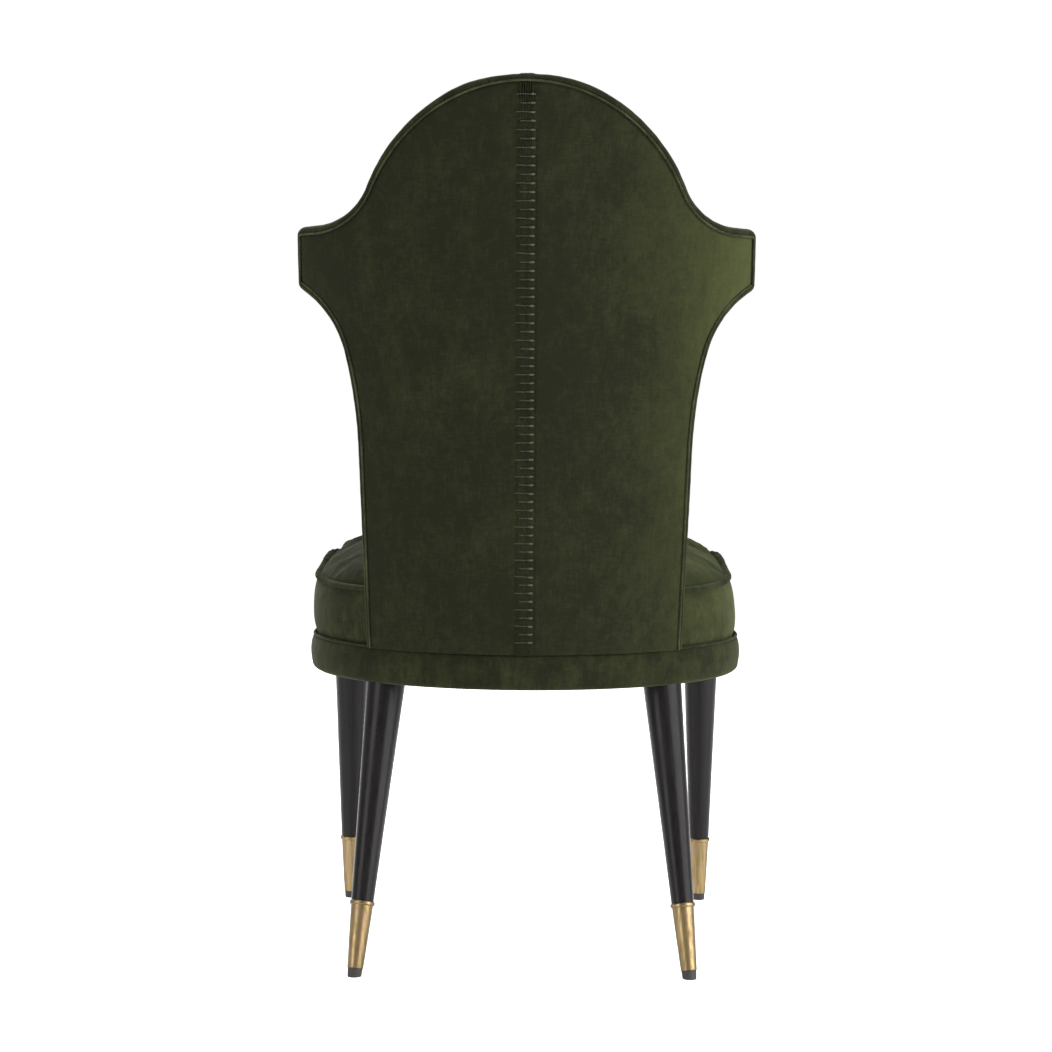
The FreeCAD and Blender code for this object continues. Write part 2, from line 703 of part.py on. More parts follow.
def frame_dowels(outline):
    """Dowels of the back frame: rails into posts, posts into wings and wings into the arched rail."""
    depth = frame_depth + frame_thickness / 2
    dowels = []
    quarter = bottom_rail_height / 4
    heights = [band_top + quarter, band_top + 3 * quarter]
    heights += [lumbar_rail_centre - lumbar_rail_height / 4, lumbar_rail_centre + lumbar_rail_height / 4]
    for side in (-1, 1):
        for height in heights:
            x = side * window_x(height) * (1 - depth / back_radius(height))
            middle = back_point(x, height, depth)
            dowels.append(centred_rod(middle, round_direction(x, height), dowel_diameter, dowel_length))
        for drop in (post_joint_drop, top_joint_drop):
            height = overall_height - drop
            inner = outline_x(window_outline(), height)
            x = side * (inner + outline_x(outline, height)) / 2 * (1 - depth / back_radius(height))
            middle = back_point(x, height, depth)
            dowels.append(centred_rod(middle, rise_direction(x, height), dowel_diameter, dowel_length))
    return dowels


def stitches():
    """Ladder of short bars sewn across the centre seam of the outside back, by turns long and short."""
    bars = []
    low = cover_base + stitch_low_margin
    high = overall_height - stitch_top_margin
    count = int((high - low) / stitch_pitch) + 1
    rise = rise_direction(0, band_top)
    for i in range(count):
        length = stitch_long if i % 2 == 0 else stitch_short
        height = low + i * stitch_pitch
        bar = Part.makeBox(length, stitch_proud, stitch_width)
        bar.translate(Vector(-length / 2, fit_gap, -stitch_width / 2))
        bar.rotate(Vector(0, 0, 0), Vector(1, 0, 0), -math.degrees(math.atan2(rise.y, rise.z)))
        bar.translate(Vector(0, centre_y + back_radius(height), height))
        bars.append(bar)
    return bars


def build_back(bolt_holes):
    whole = radial_solid(back_outline(0))
    lined = radial_solid(back_outline(cover_thickness))
    panel = radial_solid(back_outline(edge_band_width))
    frame_outline = back_outline(cover_thickness + edge_padding_thickness)
    framed = radial_solid(frame_outline)
    window = radial_solid(window_outline())

    wood = back_layer(framed, frame_depth, frame_front_depth)
    around = wood.cut(window)
    inside = wood.common(window)
    dowels = frame_dowels(frame_outline)
    holes = fused(dowels)
    post_top = overall_height - post_joint_drop
    wing_joint = overall_height - top_joint_drop
    for name, x_from, x_to in (("left", -reach, 0), ("right", 0, reach)):
        half = around.common(side_of(x_from, x_to))
        export("back_post_" + name, half.common(slab(0, post_top)).cut(holes))
        export("wing_frame_" + name, half.common(slab(post_top, wing_joint)).cut(holes))
    export("back_top_rail", around.common(slab(wing_joint, reach)).cut(holes))
    bottom = inside.common(slab(0, band_top + bottom_rail_height))
    export("back_bottom_rail", bottom.cut(holes).cut(bolt_holes))
    half_lumbar = lumbar_rail_height / 2
    lumbar = inside.common(slab(lumbar_rail_centre - half_lumbar, lumbar_rail_centre + half_lumbar))
    export("back_lumbar_rail", lumbar.cut(holes))
    export("back_frame_dowels", Part.makeCompound(dowels))

    foam_outer = frame_front_depth + webbing_thickness + fit_gap
    foam_inner = back_thickness - cover_thickness
    landing = radial_solid(window_outline(back_strip_landing))
    strip_layer = back_layer(landing, frame_front_depth, frame_front_depth + webbing_thickness)
    pitch = (back_strip_last - back_strip_first) / (back_strips - 1)
    strips = []
    for i in range(back_strips):
        middle = back_strip_first + i * pitch
        half_strip = back_strip_height / 2
        strips.append(strip_layer.common(slab(middle - half_strip, middle + half_strip)))
    export("back_webbing", Part.makeCompound(strips))
    export("back_foam", back_layer(lined, foam_outer, foam_inner, cover_base))
    export("inside_back_cover", back_layer(lined, foam_inner, back_thickness, cover_base))
    export("outside_back_padding", back_layer(lined, cover_thickness, frame_depth, cover_base))
    edge_pad = lined.cut(framed)
    export("back_edge_padding", back_layer(edge_pad, frame_depth, frame_front_depth, cover_base))

    rim = back_layer(whole.cut(lined), 0, back_thickness, cover_base)
    wrap = back_layer(lined.cut(panel), 0, cover_thickness, cover_base)
    export("back_edge_band", rim.fuse(wrap).removeSplitter())
    skin = back_layer(panel, 0, cover_thickness, cover_base)
    half_gap = panel_seam_gap / 2
    export("outside_back_left", skin.common(side_of(-reach, -half_gap)))
    export("outside_back_right", skin.common(side_of(half_gap, reach)))
    half_piping = piping_width / 2
    piped = radial_solid(back_outline(edge_band_width - half_piping))
    piped = piped.cut(radial_solid(back_outline(edge_band_width + half_piping)))
    export("back_edge_piping", back_layer(piped, -piping_proud, 0, cover_base))
    export("centre_seam_stitching", Part.makeCompound(stitches()))


def back_clearance():
    """Room that the back takes out of the cushion, with a little air round it."""
    around = radial_solid(back_outline(-cushion_gap))
    return around.common(back_shell(-leg_top_diameter, back_thickness + cushion_gap, band_top - cushion_gap))


leg_sockets = build_legs()
back_bolt_bores = build_seat_frame(leg_sockets)
build_seat_covers(back_clearance())
build_back(back_bolt_bores)
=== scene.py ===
import bpy
import json
import math
from mathutils import Matrix, Vector, kdtree, noise


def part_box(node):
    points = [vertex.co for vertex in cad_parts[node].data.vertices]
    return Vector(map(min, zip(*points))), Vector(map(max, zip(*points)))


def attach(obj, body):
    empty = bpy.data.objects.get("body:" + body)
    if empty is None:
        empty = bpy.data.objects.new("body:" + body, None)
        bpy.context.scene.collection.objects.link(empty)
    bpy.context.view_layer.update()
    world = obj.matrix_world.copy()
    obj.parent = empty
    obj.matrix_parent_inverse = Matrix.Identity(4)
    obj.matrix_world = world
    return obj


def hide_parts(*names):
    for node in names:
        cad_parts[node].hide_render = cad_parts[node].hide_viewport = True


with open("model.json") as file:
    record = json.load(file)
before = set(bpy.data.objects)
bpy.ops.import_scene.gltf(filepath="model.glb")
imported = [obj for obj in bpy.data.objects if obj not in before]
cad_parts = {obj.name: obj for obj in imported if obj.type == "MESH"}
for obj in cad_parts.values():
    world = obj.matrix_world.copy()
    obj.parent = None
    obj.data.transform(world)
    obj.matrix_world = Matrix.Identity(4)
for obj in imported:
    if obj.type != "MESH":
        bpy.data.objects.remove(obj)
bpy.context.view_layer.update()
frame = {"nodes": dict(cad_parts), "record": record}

# places read from the frame, metres
bandLow, bandHigh = (Vector(c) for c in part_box("base_band_cover"))
rimHigh = Vector(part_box("back_edge_band")[1])
seatRadius = bandHigh.x
rearY = bandHigh.y
frontY = bandLow.y
centreY = rearY - seatRadius
bandTop = bandHigh.z
bandBottom = bandLow.z
backTop = rimHigh.z
lean = (rimHigh.y - rearY) / (backTop - bandTop)  # how fast the back opens as it rises


# small mesh and object helpers

def keepPiece(name, mesh, material, replaced=()):
    piece = bpy.data.objects.new(name, mesh)
    bpy.context.scene.collection.objects.link(piece)
    mesh.materials.append(material)
    for poly in mesh.polygons:
        poly.use_smooth = True
    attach(piece, "root")
    if replaced:
        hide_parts(*replaced)
    return piece


def newMesh(name, verts, faces):
    mesh = bpy.data.meshes.new(name)
    mesh.from_pydata(verts, [], faces)
    mesh.update()
    return mesh


def gridFaces(rowCount, width, closeAcross=False, closeAlong=False, base=0):
    faces = []
    for i in range(rowCount if closeAlong else rowCount - 1):
        for j in range(width if closeAcross else width - 1):
            here = base + i * width
            ahead = base + ((i + 1) % rowCount) * width
            k = (j + 1) % width
            faces.append((here + j, here + k, ahead + k, ahead + j))
    return faces


def gridMesh(name, rows, closeAcross=False, closeAlong=False):
    verts = [p for row in rows for p in row]
    return newMesh(name, verts, gridFaces(len(rows), len(rows[0]), closeAcross, closeAlong))


def tubesMesh(name, tubes):
    # several closed tubes in one mesh, each a list of rings
    verts, faces = [], []
    for rows in tubes:
        base = len(verts)
        width = len(rows[0])
        verts += [p for row in rows for p in row]
        faces += gridFaces(len(rows), width, closeAcross=True, base=base)
        faces.append(tuple(base + j for j in reversed(range(width))))
        faces.append(tuple(base + (len(rows) - 1) * width + j for j in range(width)))
    return newMesh(name, verts, faces)


def applyModifiers(piece):
    evaluated = piece.evaluated_get(bpy.context.evaluated_depsgraph_get())
    mesh = bpy.data.meshes.new_from_object(evaluated)
    old = piece.data
    piece.modifiers.clear()
    piece.data = mesh
    bpy.data.meshes.remove(old)
    for poly in mesh.polygons:
        poly.use_smooth = True


def smoothStep(low, high, value):
    t = min(1.0, max(0.0, (value - low) / (high - low)))
    return t * t * (3 - 2 * t)


def bell(value, width):
    return math.exp(-((value / width) ** 2))


def wave(point, size, seed=0.0):
    # smooth noise, about -1 to 1, with bumps roughly that size across
    return noise.noise(Vector((point[0] / size + seed, point[1] / size, point[2] / size - seed)))


# the back's plan and outline

backShape = dict(
    baseWidth=0.3893,
    sideFlare=1.9,  # degrees from upright
    sweepBreak=14.3,
    sweepEnd=53.4,
    sweepRatio=3.93,
    sweepLead=0.007,
    wingDrop=0.1665,
    wingTip=0.068,
    rearRound=0.0072,  # corners of the wings on the outer face
    frontRound=0.0160,  # and on the sitter's side
    shoulderStart=0.025,  # from the wing's tip in to where its upper edge turns up
    archRadius=0.206,
    thickness=0.0586,
)


def backRadius(z):
    return seatRadius + (z - bandTop) * lean


def onBack(x, z, depth=0.0):
    # a place on the back's outer face, or that deep inside it along a level line to the axis
    radius = backRadius(z)
    turn = math.asin(max(-1.0, min(1.0, x / radius)))
    return Vector(((radius - depth) * math.sin(turn), centreY + (radius - depth) * math.cos(turn), z))


def heading(angle):
    return Vector((math.sin(math.radians(angle)), math.cos(math.radians(angle))))


def arcRun(centre, radius, first, last, step):
    count = max(3, int(abs(math.radians(last - first)) * radius / step) + 1)
    angles = [math.radians(first + (last - first) * k / count) for k in range(count + 1)]
    return [Vector((centre.x + radius * math.cos(a), centre.y + radius * math.sin(a))) for a in angles]


def halfOutline(corner, count):
    # right half of the back's outline, x and height, from the base up to the top
    s = backShape
    step = 0.003
    tipX = rimHigh.x
    wingTop = backTop - s["wingDrop"]
    tipLow = Vector((tipX, wingTop - s["wingTip"]))
    base = Vector((s["baseWidth"] / 2, bandTop))
    up, out = heading(s["sideFlare"]), heading(s["sweepEnd"])
    gap = tipLow - base
    along = (gap.x * out.y - gap.y * out.x) / (up.x * out.y - up.y * out.x)
    turning = base + up * along
    cut = corner * math.tan(math.radians(s["sweepEnd"] / 2))
    room = (tipLow - turning).length - s["sweepLead"] - 0.014 * math.tan(math.radians(s["sweepEnd"] / 2))
    a, b, c = (math.radians(s[k]) for k in ("sideFlare", "sweepBreak", "sweepEnd"))
    unitX = s["sweepRatio"] * (math.cos(a) - math.cos(b)) + math.cos(b) - math.cos(c)
    unitZ = s["sweepRatio"] * (math.sin(b) - math.sin(a)) + math.sin(c) - math.sin(b)
    after = (unitX * up.y - unitZ * up.x) / (out.x * up.y - out.y * up.x)
    before = (unitX - after * out.x) / up.x
    upper = room / after
    lower = upper * s["sweepRatio"]
    lowerCentre = turning - up * (before * upper) + Vector((up.y, -up.x)) * lower
    breakUp = heading(s["sweepBreak"])
    upperCentre = lowerCentre - Vector((breakUp.y, -breakUp.x)) * (lower - upper)
    archCentre = Vector((0, backTop - s["archRadius"]))
    shoulderX = tipX - s["shoulderStart"]
    rise = wingTop - archCentre.y
    shoulder = (shoulderX ** 2 + rise ** 2 - s["archRadius"] ** 2) / (2 * (s["archRadius"] - rise))
    shoulderCentre = Vector((shoulderX, wingTop + shoulder))
    archEnd = math.degrees(math.atan2(shoulderCentre.y - archCentre.y, shoulderX))
    roundX = tipX - corner
    runs = [
        [base],
        arcRun(lowerCentre, lower, 180 - s["sideFlare"], 180 - s["sweepBreak"], step),
        arcRun(upperCentre, upper, 180 - s["sweepBreak"], 180 - s["sweepEnd"], step),
        arcRun(Vector((roundX, tipLow.y + cut)), corner, -s["sweepEnd"], 0, 0.001),
        arcRun(Vector((roundX, wingTop - corner)), corner, 0, 90, 0.001),
        arcRun(shoulderCentre, shoulder, 270, 180 + archEnd, step),
        arcRun(archCentre, s["archRadius"], archEnd, 90, step),
    ]
    return evenly([p for run in runs for p in run], count=count)


def evenly(points, step=0.0, count=0):
    # the same line with points evenly spaced along it
    clean = [points[0]]
    for p in points[1:]:
        if (p - clean[-1]).length > 1e-6:
            clean.append(p)
    lengths = [0.0]
    for p, q in zip(clean, clean[1:]):
        lengths.append(lengths[-1] + (q - p).length)
    count = count or max(2, round(lengths[-1] / step))
    found = []
    k = 0
    for i in range(count + 1):
        want = lengths[-1] * i / count
        while k < len(lengths) - 2 and lengths[k + 1] < want:
            k += 1
        t = (want - lengths[k]) / (lengths[k + 1] - lengths[k])
        found.append(clean[k].lerp(clean[k + 1], min(1.0, max(0.0, t))))
    return found


def outlineFrames(points):
    # for each outline point: its place, the way out of the outline, and the way into the back
    frames = []
    places = [onBack(p.x, p.y) for p in points]
    for i, place in enumerate(places):
        ahead = places[min(i + 1, len(places) - 1)]
        behind = places[max(i - 1, 0)]
        along = (ahead - behind).normalized()
        inward = Vector((-place.x, centreY - place.y, 0)).normalized()
        outward = along.cross(inward).normalized()
        frames.append((place, outward, inward))
    return frames


rightRear = halfOutline(backShape["rearRound"], 420)
rightFront = halfOutline(backShape["frontRound"], 420)


def wholeRim(right):
    # up the left side, over the top and down the right
    whole = [Vector((-p.x, p.y)) for p in right] + right[-2::-1]
    frames = outlineFrames(whole)
    if frames[0][1].x > 0:
        frames = [(p, -o, n) for p, o, n in frames]
    return frames


rearRim = wholeRim(rightRear)
frontRim = wholeRim(rightFront)


# finishes

def newMaterial(name):
    material = bpy.data.materials.new(name)
    material.use_nodes = True
    tree = material.node_tree
    shader = tree.nodes["Principled BSDF"]
    return material, tree, shader


def addNode(tree, kind, **values):
    node = tree.nodes.new(kind)
    for key, value in values.items():
        if key in node.inputs:
            node.inputs[key].default_value = value
        else:
            setattr(node, key, value)
    return node


def ramp(tree, source, stops):
    node = tree.nodes.new("ShaderNodeValToRGB")
    elements = node.color_ramp.elements
    while len(elements) < len(stops):
        elements.new(0.5)
    for element, (place, colour) in zip(elements, stops):
        element.position = place
        element.color = (*colour, 1) if len(colour) == 3 else colour
    tree.links.new(source, node.inputs["Fac"])
    return node


def mixColour(tree, factor, first, second, blend="MIX"):
    node = tree.nodes.new("ShaderNodeMix")
    node.data_type = "RGBA"
    node.blend_type = blend
    for socket, value in ((node.inputs["Factor"], factor), (node.inputs[6], first), (node.inputs[7], second)):
        if hasattr(value, "links") or hasattr(value, "is_linked"):
            tree.links.new(value, socket)
        elif isinstance(value, (int, float)):
            socket.default_value = value
        else:
            socket.default_value = (*value, 1)
    return node.outputs[2]


def makeNapGroup():
    # pile cloth: drifting patches, brushed marks and a fine nap, with its height; also painted light that
    # lightens the colour toward the -X side
    group = bpy.data.node_groups.new("velvetNap", "ShaderNodeTree")
    face = group.interface
    for name, kind, value in (
        ("Deep", "NodeSocketColor", (0.02, 0.022, 0.01, 1)),
        ("Bright", "NodeSocketColor", (0.06, 0.07, 0.03, 1)),
        ("Patch Size", "NodeSocketFloat", 0.12),
        ("Patch Amount", "NodeSocketFloat", 0.6),
        ("Mottle", "NodeSocketFloat", 0.5),
        ("Streaks", "NodeSocketFloat", 0.3),
        ("Painted Side Light", "NodeSocketFloat", 0.0),
        ("Fibre", "NodeSocketFloat", 0.55),
    ):
        socket = face.new_socket(name=name, in_out="INPUT", socket_type=kind)
        socket.default_value = value
    face.new_socket(name="Color", in_out="OUTPUT", socket_type="NodeSocketColor")
    face.new_socket(name="Height", in_out="OUTPUT", socket_type="NodeSocketFloat")
    inside = group.nodes.new("NodeGroupInput")
    outside = group.nodes.new("NodeGroupOutput")
    link = group.links.new
    coords = group.nodes.new("ShaderNodeTexCoord")

    def maths(operation, first, second=None):
        node = group.nodes.new("ShaderNodeMath")
        node.operation = operation
        for socket, value in zip(node.inputs, (first, second)):
            if value is None:
                continue
            if isinstance(value, (int, float)):
                socket.default_value = value
            else:
                link(value, socket)
        return node.outputs[0]

    def cloud(scale, detail, stretch=(1, 1, 1), distortion=0.0):
        mapping = addNode(group, "ShaderNodeMapping", Scale=stretch)
        link(coords.outputs["Object"], mapping.inputs["Vector"])
        node = addNode(group, "ShaderNodeTexNoise", Detail=detail, Roughness=0.62, Distortion=distortion)
        link(mapping.outputs[0], node.inputs["Vector"])
        if isinstance(scale, (int, float)):
            node.inputs["Scale"].default_value = scale
        else:
            link(scale, node.inputs["Scale"])
        return node.outputs["Fac"]

    patchScale = maths("DIVIDE", 1.0, inside.outputs["Patch Size"])
    patches = cloud(patchScale, 4.0, (1, 1, 0.7), 0.6)
    mottle = cloud(55.0, 8.0, (1, 1, 0.85), 0.3)
    brushed = cloud(170.0, 5.0, (1, 1, 0.16), 0.1)
    warp = cloud(420.0, 3.0, (1, 1, 0.22))
    weft = cloud(420.0, 3.0, (0.22, 0.22, 1))
    nap = maths("MULTIPLY", maths("ADD", warp, weft), 0.5)
    patchMask = ramp(group, patches, [(0.40, (0, 0, 0)), (0.68, (1, 1, 1))]).outputs["Color"]
    amount = maths("MULTIPLY", patchMask, inside.outputs["Patch Amount"])
    mottled = maths("MULTIPLY", maths("SUBTRACT", mottle, 0.5), inside.outputs["Mottle"])
    streaked = maths("MULTIPLY", maths("SUBTRACT", brushed, 0.5), inside.outputs["Streaks"])
    grains = maths("MULTIPLY", maths("SUBTRACT", nap, 0.5), inside.outputs["Fibre"])
    split = group.nodes.new("ShaderNodeSeparateXYZ")
    link(coords.outputs["Object"], split.inputs[0])
    # painted light: the colour lightens toward the -X side, where the key lamp falls
    sideLightRamp = group.nodes.new("ShaderNodeMapRange")
    for socket, value in zip(("From Min", "From Max", "To Min", "To Max"), (-0.06, -0.27, 0.0, 1.0)):
        sideLightRamp.inputs[socket].default_value = value
    link(split.outputs["X"], sideLightRamp.inputs["Value"])
    paintedSideLight = maths("MULTIPLY", maths("POWER", sideLightRamp.outputs[0], 2.1), maths("ADD", patches, 0.45))
    paintedSideLight = maths("MULTIPLY", paintedSideLight, inside.outputs["Painted Side Light"])
    total = maths("ADD", maths("ADD", amount, mottled), maths("ADD", streaked, grains))
    total = maths("ADD", total, paintedSideLight)
    clamped = group.nodes.new("ShaderNodeClamp")
    link(total, clamped.inputs["Value"])
    tone = mixColour(group, clamped.outputs[0], inside.outputs["Deep"], inside.outputs["Bright"])
    link(tone, outside.inputs["Color"])
    height = maths("ADD", maths("MULTIPLY", nap, 0.5), maths("MULTIPLY", brushed, 0.3))
    height = maths("ADD", height, maths("MULTIPLY", mottle, 0.6))
    link(height, outside.inputs["Height"])
    return group


napGroup = makeNapGroup()

velvetTones = dict(
    deep=(0.0112, 0.0127, 0.0062),
    bright=(0.057, 0.066, 0.0225),
    sheen=0.13,
    sheenTint=(0.62, 0.68, 0.42),
    sheenRoughness=0.40,
    roughness=0.95,
)


def makeVelvet(
    name, patchSize=0.13, patchAmount=0.13, mottle=0.34, streaks=0.20, bump=0.30, brushed=0.0, sheen=None
):
    material, tree, shader = newMaterial(name)
    nap = tree.nodes.new("ShaderNodeGroup")
    nap.node_tree = napGroup
    nap.inputs["Deep"].default_value = (*velvetTones["deep"], 1)
    nap.inputs["Bright"].default_value = (*velvetTones["bright"], 1)
    nap.inputs["Patch Size"].default_value = patchSize
    nap.inputs["Patch Amount"].default_value = patchAmount
    nap.inputs["Mottle"].default_value = mottle
    nap.inputs["Streaks"].default_value = streaks
    # brushed sets how much painted light lightens the -X side
    nap.inputs["Painted Side Light"].default_value = brushed
    tree.links.new(nap.outputs["Color"], shader.inputs["Base Color"])
    bumpNode = addNode(tree, "ShaderNodeBump", Strength=bump, Distance=0.0012)
    tree.links.new(nap.outputs["Height"], bumpNode.inputs["Height"])
    tree.links.new(bumpNode.outputs[0], shader.inputs["Normal"])
    shader.inputs["Roughness"].default_value = velvetTones["roughness"]
    shader.inputs["Specular IOR Level"].default_value = 0.06
    shader.inputs["Sheen Weight"].default_value = velvetTones["sheen"] if sheen is None else sheen
    shader.inputs["Sheen Roughness"].default_value = velvetTones["sheenRoughness"]
    shader.inputs["Sheen Tint"].default_value = (*velvetTones["sheenTint"], 1)
    return material


# brushed: strength of the painted side light on each velvet
velvet = makeVelvet("mossVelvet", brushed=0.60)
velvetSeat = makeVelvet(
    "mossVelvetSeat", patchSize=0.09, patchAmount=0.26, mottle=0.72, streaks=0.3, brushed=0.50, sheen=0.09
)
velvetBand = makeVelvet(
    "mossVelvetBand", patchSize=0.07, patchAmount=0.20, mottle=0.50, streaks=0.3, brushed=0.12, sheen=0.10
)
velvetTop = makeVelvet(
    "mossVelvetTop", patchSize=0.08, patchAmount=0.34, mottle=0.40, streaks=0.2, brushed=0.50, sheen=0.02
)
velvetTrim = makeVelvet("mossVelvetTrim", patchSize=0.04, patchAmount=0.24, mottle=0.5, streaks=0.3, bump=0.5)
velvetPiping = makeVelvet(
    "mossVelvetPiping", patchSize=0.03, patchAmount=0.40, mottle=0.6, streaks=0.3, bump=0.4
)
# painted highlight: the piping's velvet is set lighter than the rest to stand in for light catching the cord
velvetPiping.node_tree.nodes["Group"].inputs["Deep"].default_value = (0.021, 0.024, 0.013, 1)
velvetPiping.node_tree.nodes["Group"].inputs["Bright"].default_value = (0.088, 0.100, 0.050, 1)

# bright is a lighter copy of the thread colour for the wrapped ends, a painted highlight
threadLook = dict(dark=(0.050, 0.054, 0.036), bright=(0.084, 0.088, 0.062), roughness=0.8)


def makeThread(name, colour):
    material, tree, shader = newMaterial(name)
    twist = addNode(tree, "ShaderNodeTexWave", Scale=420.0, Distortion=1.5, Detail=1.0)
    twist.bands_direction = "DIAGONAL"
    coords = tree.nodes.new("ShaderNodeTexCoord")
    tree.links.new(coords.outputs["Object"], twist.inputs["Vector"])
    shades = [(0.0, tuple(0.6 * c for c in colour)), (1.0, colour)]
    tree.links.new(ramp(tree, twist.outputs["Fac"], shades).outputs["Color"], shader.inputs["Base Color"])
    bumpNode = addNode(tree, "ShaderNodeBump", Strength=0.6, Distance=0.0004)
    tree.links.new(twist.outputs["Fac"], bumpNode.inputs["Height"])
    tree.links.new(bumpNode.outputs[0], shader.inputs["Normal"])
    shader.inputs["Roughness"].default_value = threadLook["roughness"]
    shader.inputs["Specular IOR Level"].default_value = 0.15
    return material


threadDark = makeThread("greenThread", threadLook["dark"])
threadLitCopy = makeThread("greenThreadWrappedLit", threadLook["bright"])

lacquerLook = dict(colour=(0.0050, 0.0044, 0.0046), warm=(0.012, 0.0095, 0.0092))
lacquer, tree, shader = newMaterial("blackLacquer")
coords = tree.nodes.new("ShaderNodeTexCoord")
mapping = addNode(tree, "ShaderNodeMapping", Scale=(260, 260, 9))
tree.links.new(coords.outputs["Object"], mapping.inputs["Vector"])
grain = addNode(tree, "ShaderNodeTexNoise", Scale=1.0, Detail=5.0, Roughness=0.6)
tree.links.new(mapping.outputs[0], grain.inputs["Vector"])
cloudy = addNode(tree, "ShaderNodeTexNoise", Scale=22.0, Detail=3.0)
tree.links.new(coords.outputs["Object"], cloudy.inputs["Vector"])
stops = [(0.35, lacquerLook["colour"]), (0.75, lacquerLook["warm"])]
tree.links.new(ramp(tree, grain.outputs["Fac"], stops).outputs["Color"], shader.inputs["Base Color"])
rough = [(0.3, (0.26, 0.26, 0.26)), (0.7, (0.40, 0.40, 0.40))]
tree.links.new(ramp(tree, cloudy.outputs["Fac"], rough).outputs["Color"], shader.inputs["Roughness"])
bumpNode = addNode(tree, "ShaderNodeBump", Strength=0.12, Distance=0.0006)
tree.links.new(grain.outputs["Fac"], bumpNode.inputs["Height"])
tree.links.new(bumpNode.outputs[0], shader.inputs["Normal"])
shader.inputs["Specular IOR Level"].default_value = 0.14
shader.inputs["Coat Weight"].default_value = 0.06
shader.inputs["Coat Roughness"].default_value = 0.15

brassLook = dict(
    bright=(0.30, 0.222, 0.102),
    dark=(0.10, 0.070, 0.027),
    rosy=(0.28, 0.185, 0.125),
    # painted shade: edge is the darker brass colour put where the tube turns away from view
    edge=(0.045, 0.033, 0.016),  # where the tube turns away
)
brass, tree, shader = newMaterial("agedBrass")
coords = tree.nodes.new("ShaderNodeTexCoord")
mapping = addNode(tree, "ShaderNodeMapping", Scale=(260, 260, 12))
tree.links.new(coords.outputs["Object"], mapping.inputs["Vector"])
brushed = addNode(tree, "ShaderNodeTexNoise", Scale=1.0, Detail=4.0, Roughness=0.65)
tree.links.new(mapping.outputs[0], brushed.inputs["Vector"])
patina = addNode(tree, "ShaderNodeTexNoise", Scale=60.0, Detail=5.0, Roughness=0.65)
tree.links.new(coords.outputs["Object"], patina.inputs["Vector"])
streaks = ramp(tree, brushed.outputs["Fac"], [(0.25, brassLook["dark"]), (0.60, brassLook["bright"])])
rosy = ramp(tree, patina.outputs["Fac"], [(0.42, (0, 0, 0)), (0.70, (0.7, 0.7, 0.7))])
tone = mixColour(tree, rosy.outputs["Color"], streaks.outputs["Color"], brassLook["rosy"])
# painted shade: the colour darkens toward the tube's edges as seen from the camera
facing = addNode(tree, "ShaderNodeLayerWeight", Blend=0.5)
edgeShadeMask = ramp(tree, facing.outputs["Facing"], [(0.30, (0, 0, 0)), (0.85, (0.95, 0.95, 0.95))])
tone = mixColour(tree, edgeShadeMask.outputs["Color"], tone, brassLook["edge"])
tree.links.new(tone, shader.inputs["Base Color"])
rough = ramp(tree, brushed.outputs["Fac"], [(0.3, (0.44, 0.44, 0.44)), (0.7, (0.28, 0.28, 0.28))])
tree.links.new(rough.outputs["Color"], shader.inputs["Roughness"])
bumpNode = addNode(tree, "ShaderNodeBump", Strength=0.10, Distance=0.0004)
tree.links.new(brushed.outputs["Fac"], bumpNode.inputs["Height"])
tree.links.new(bumpNode.outputs[0], shader.inputs["Normal"])
shader.inputs["Metallic"].default_value = 1.0

rubber, tree, shader = newMaterial("glideRubber")
coords = tree.nodes.new("ShaderNodeTexCoord")
scuffs = addNode(tree, "ShaderNodeTexNoise", Scale=240.0, Detail=4.0, Roughness=0.7)
tree.links.new(coords.outputs["Object"], scuffs.inputs["Vector"])
stops = [(0.35, (0.014, 0.011, 0.010)), (0.75, (0.040, 0.031, 0.027))]
tree.links.new(ramp(tree, scuffs.outputs["Fac"], stops).outputs["Color"], shader.inputs["Base Color"])
bumpNode = addNode(tree, "ShaderNodeBump", Strength=0.3, Distance=0.0004)
tree.links.new(scuffs.outputs["Fac"], bumpNode.inputs["Height"])
tree.links.new(bumpNode.outputs[0], shader.inputs["Normal"])
shader.inputs["Roughness"].default_value = 0.62

lining, tree, shader = newMaterial("blackLining")
coords = tree.nodes.new("ShaderNodeTexCoord")
threads = addNode(tree, "ShaderNodeTexVoronoi", Scale=700.0)
tree.links.new(coords.outputs["Object"], threads.inputs["Vector"])
stops = [(0.1, (0.012, 0.012, 0.013)), (0.8, (0.032, 0.032, 0.034))]
tree.links.new(ramp(tree, threads.outputs["Distance"], stops).outputs["Color"], shader.inputs["Base Color"])
bumpNode = addNode(tree, "ShaderNodeBump", Strength=0.3, Distance=0.0004)
tree.links.new(threads.outputs["Distance"], bumpNode.inputs["Height"])
tree.links.new(bumpNode.outputs[0], shader.inputs["Normal"])
shader.inputs["Roughness"].default_value = 0.85

zinc, tree, shader = newMaterial("zincPlate")
coords = tree.nodes.new("ShaderNodeTexCoord")
spangle = addNode(tree, "ShaderNodeTexVoronoi", Scale=260.0)
tree.links.new(coords.outputs["Object"], spangle.inputs["Vector"])
stops = [(0.0, (0.42, 0.43, 0.45)), (1.0, (0.62, 0.63, 0.65))]
tree.links.new(ramp(tree, spangle.outputs["Distance"], stops).outputs["Color"], shader.inputs["Base Color"])
shader.inputs["Metallic"].default_value = 1.0
shader.inputs["Roughness"].default_value = 0.38

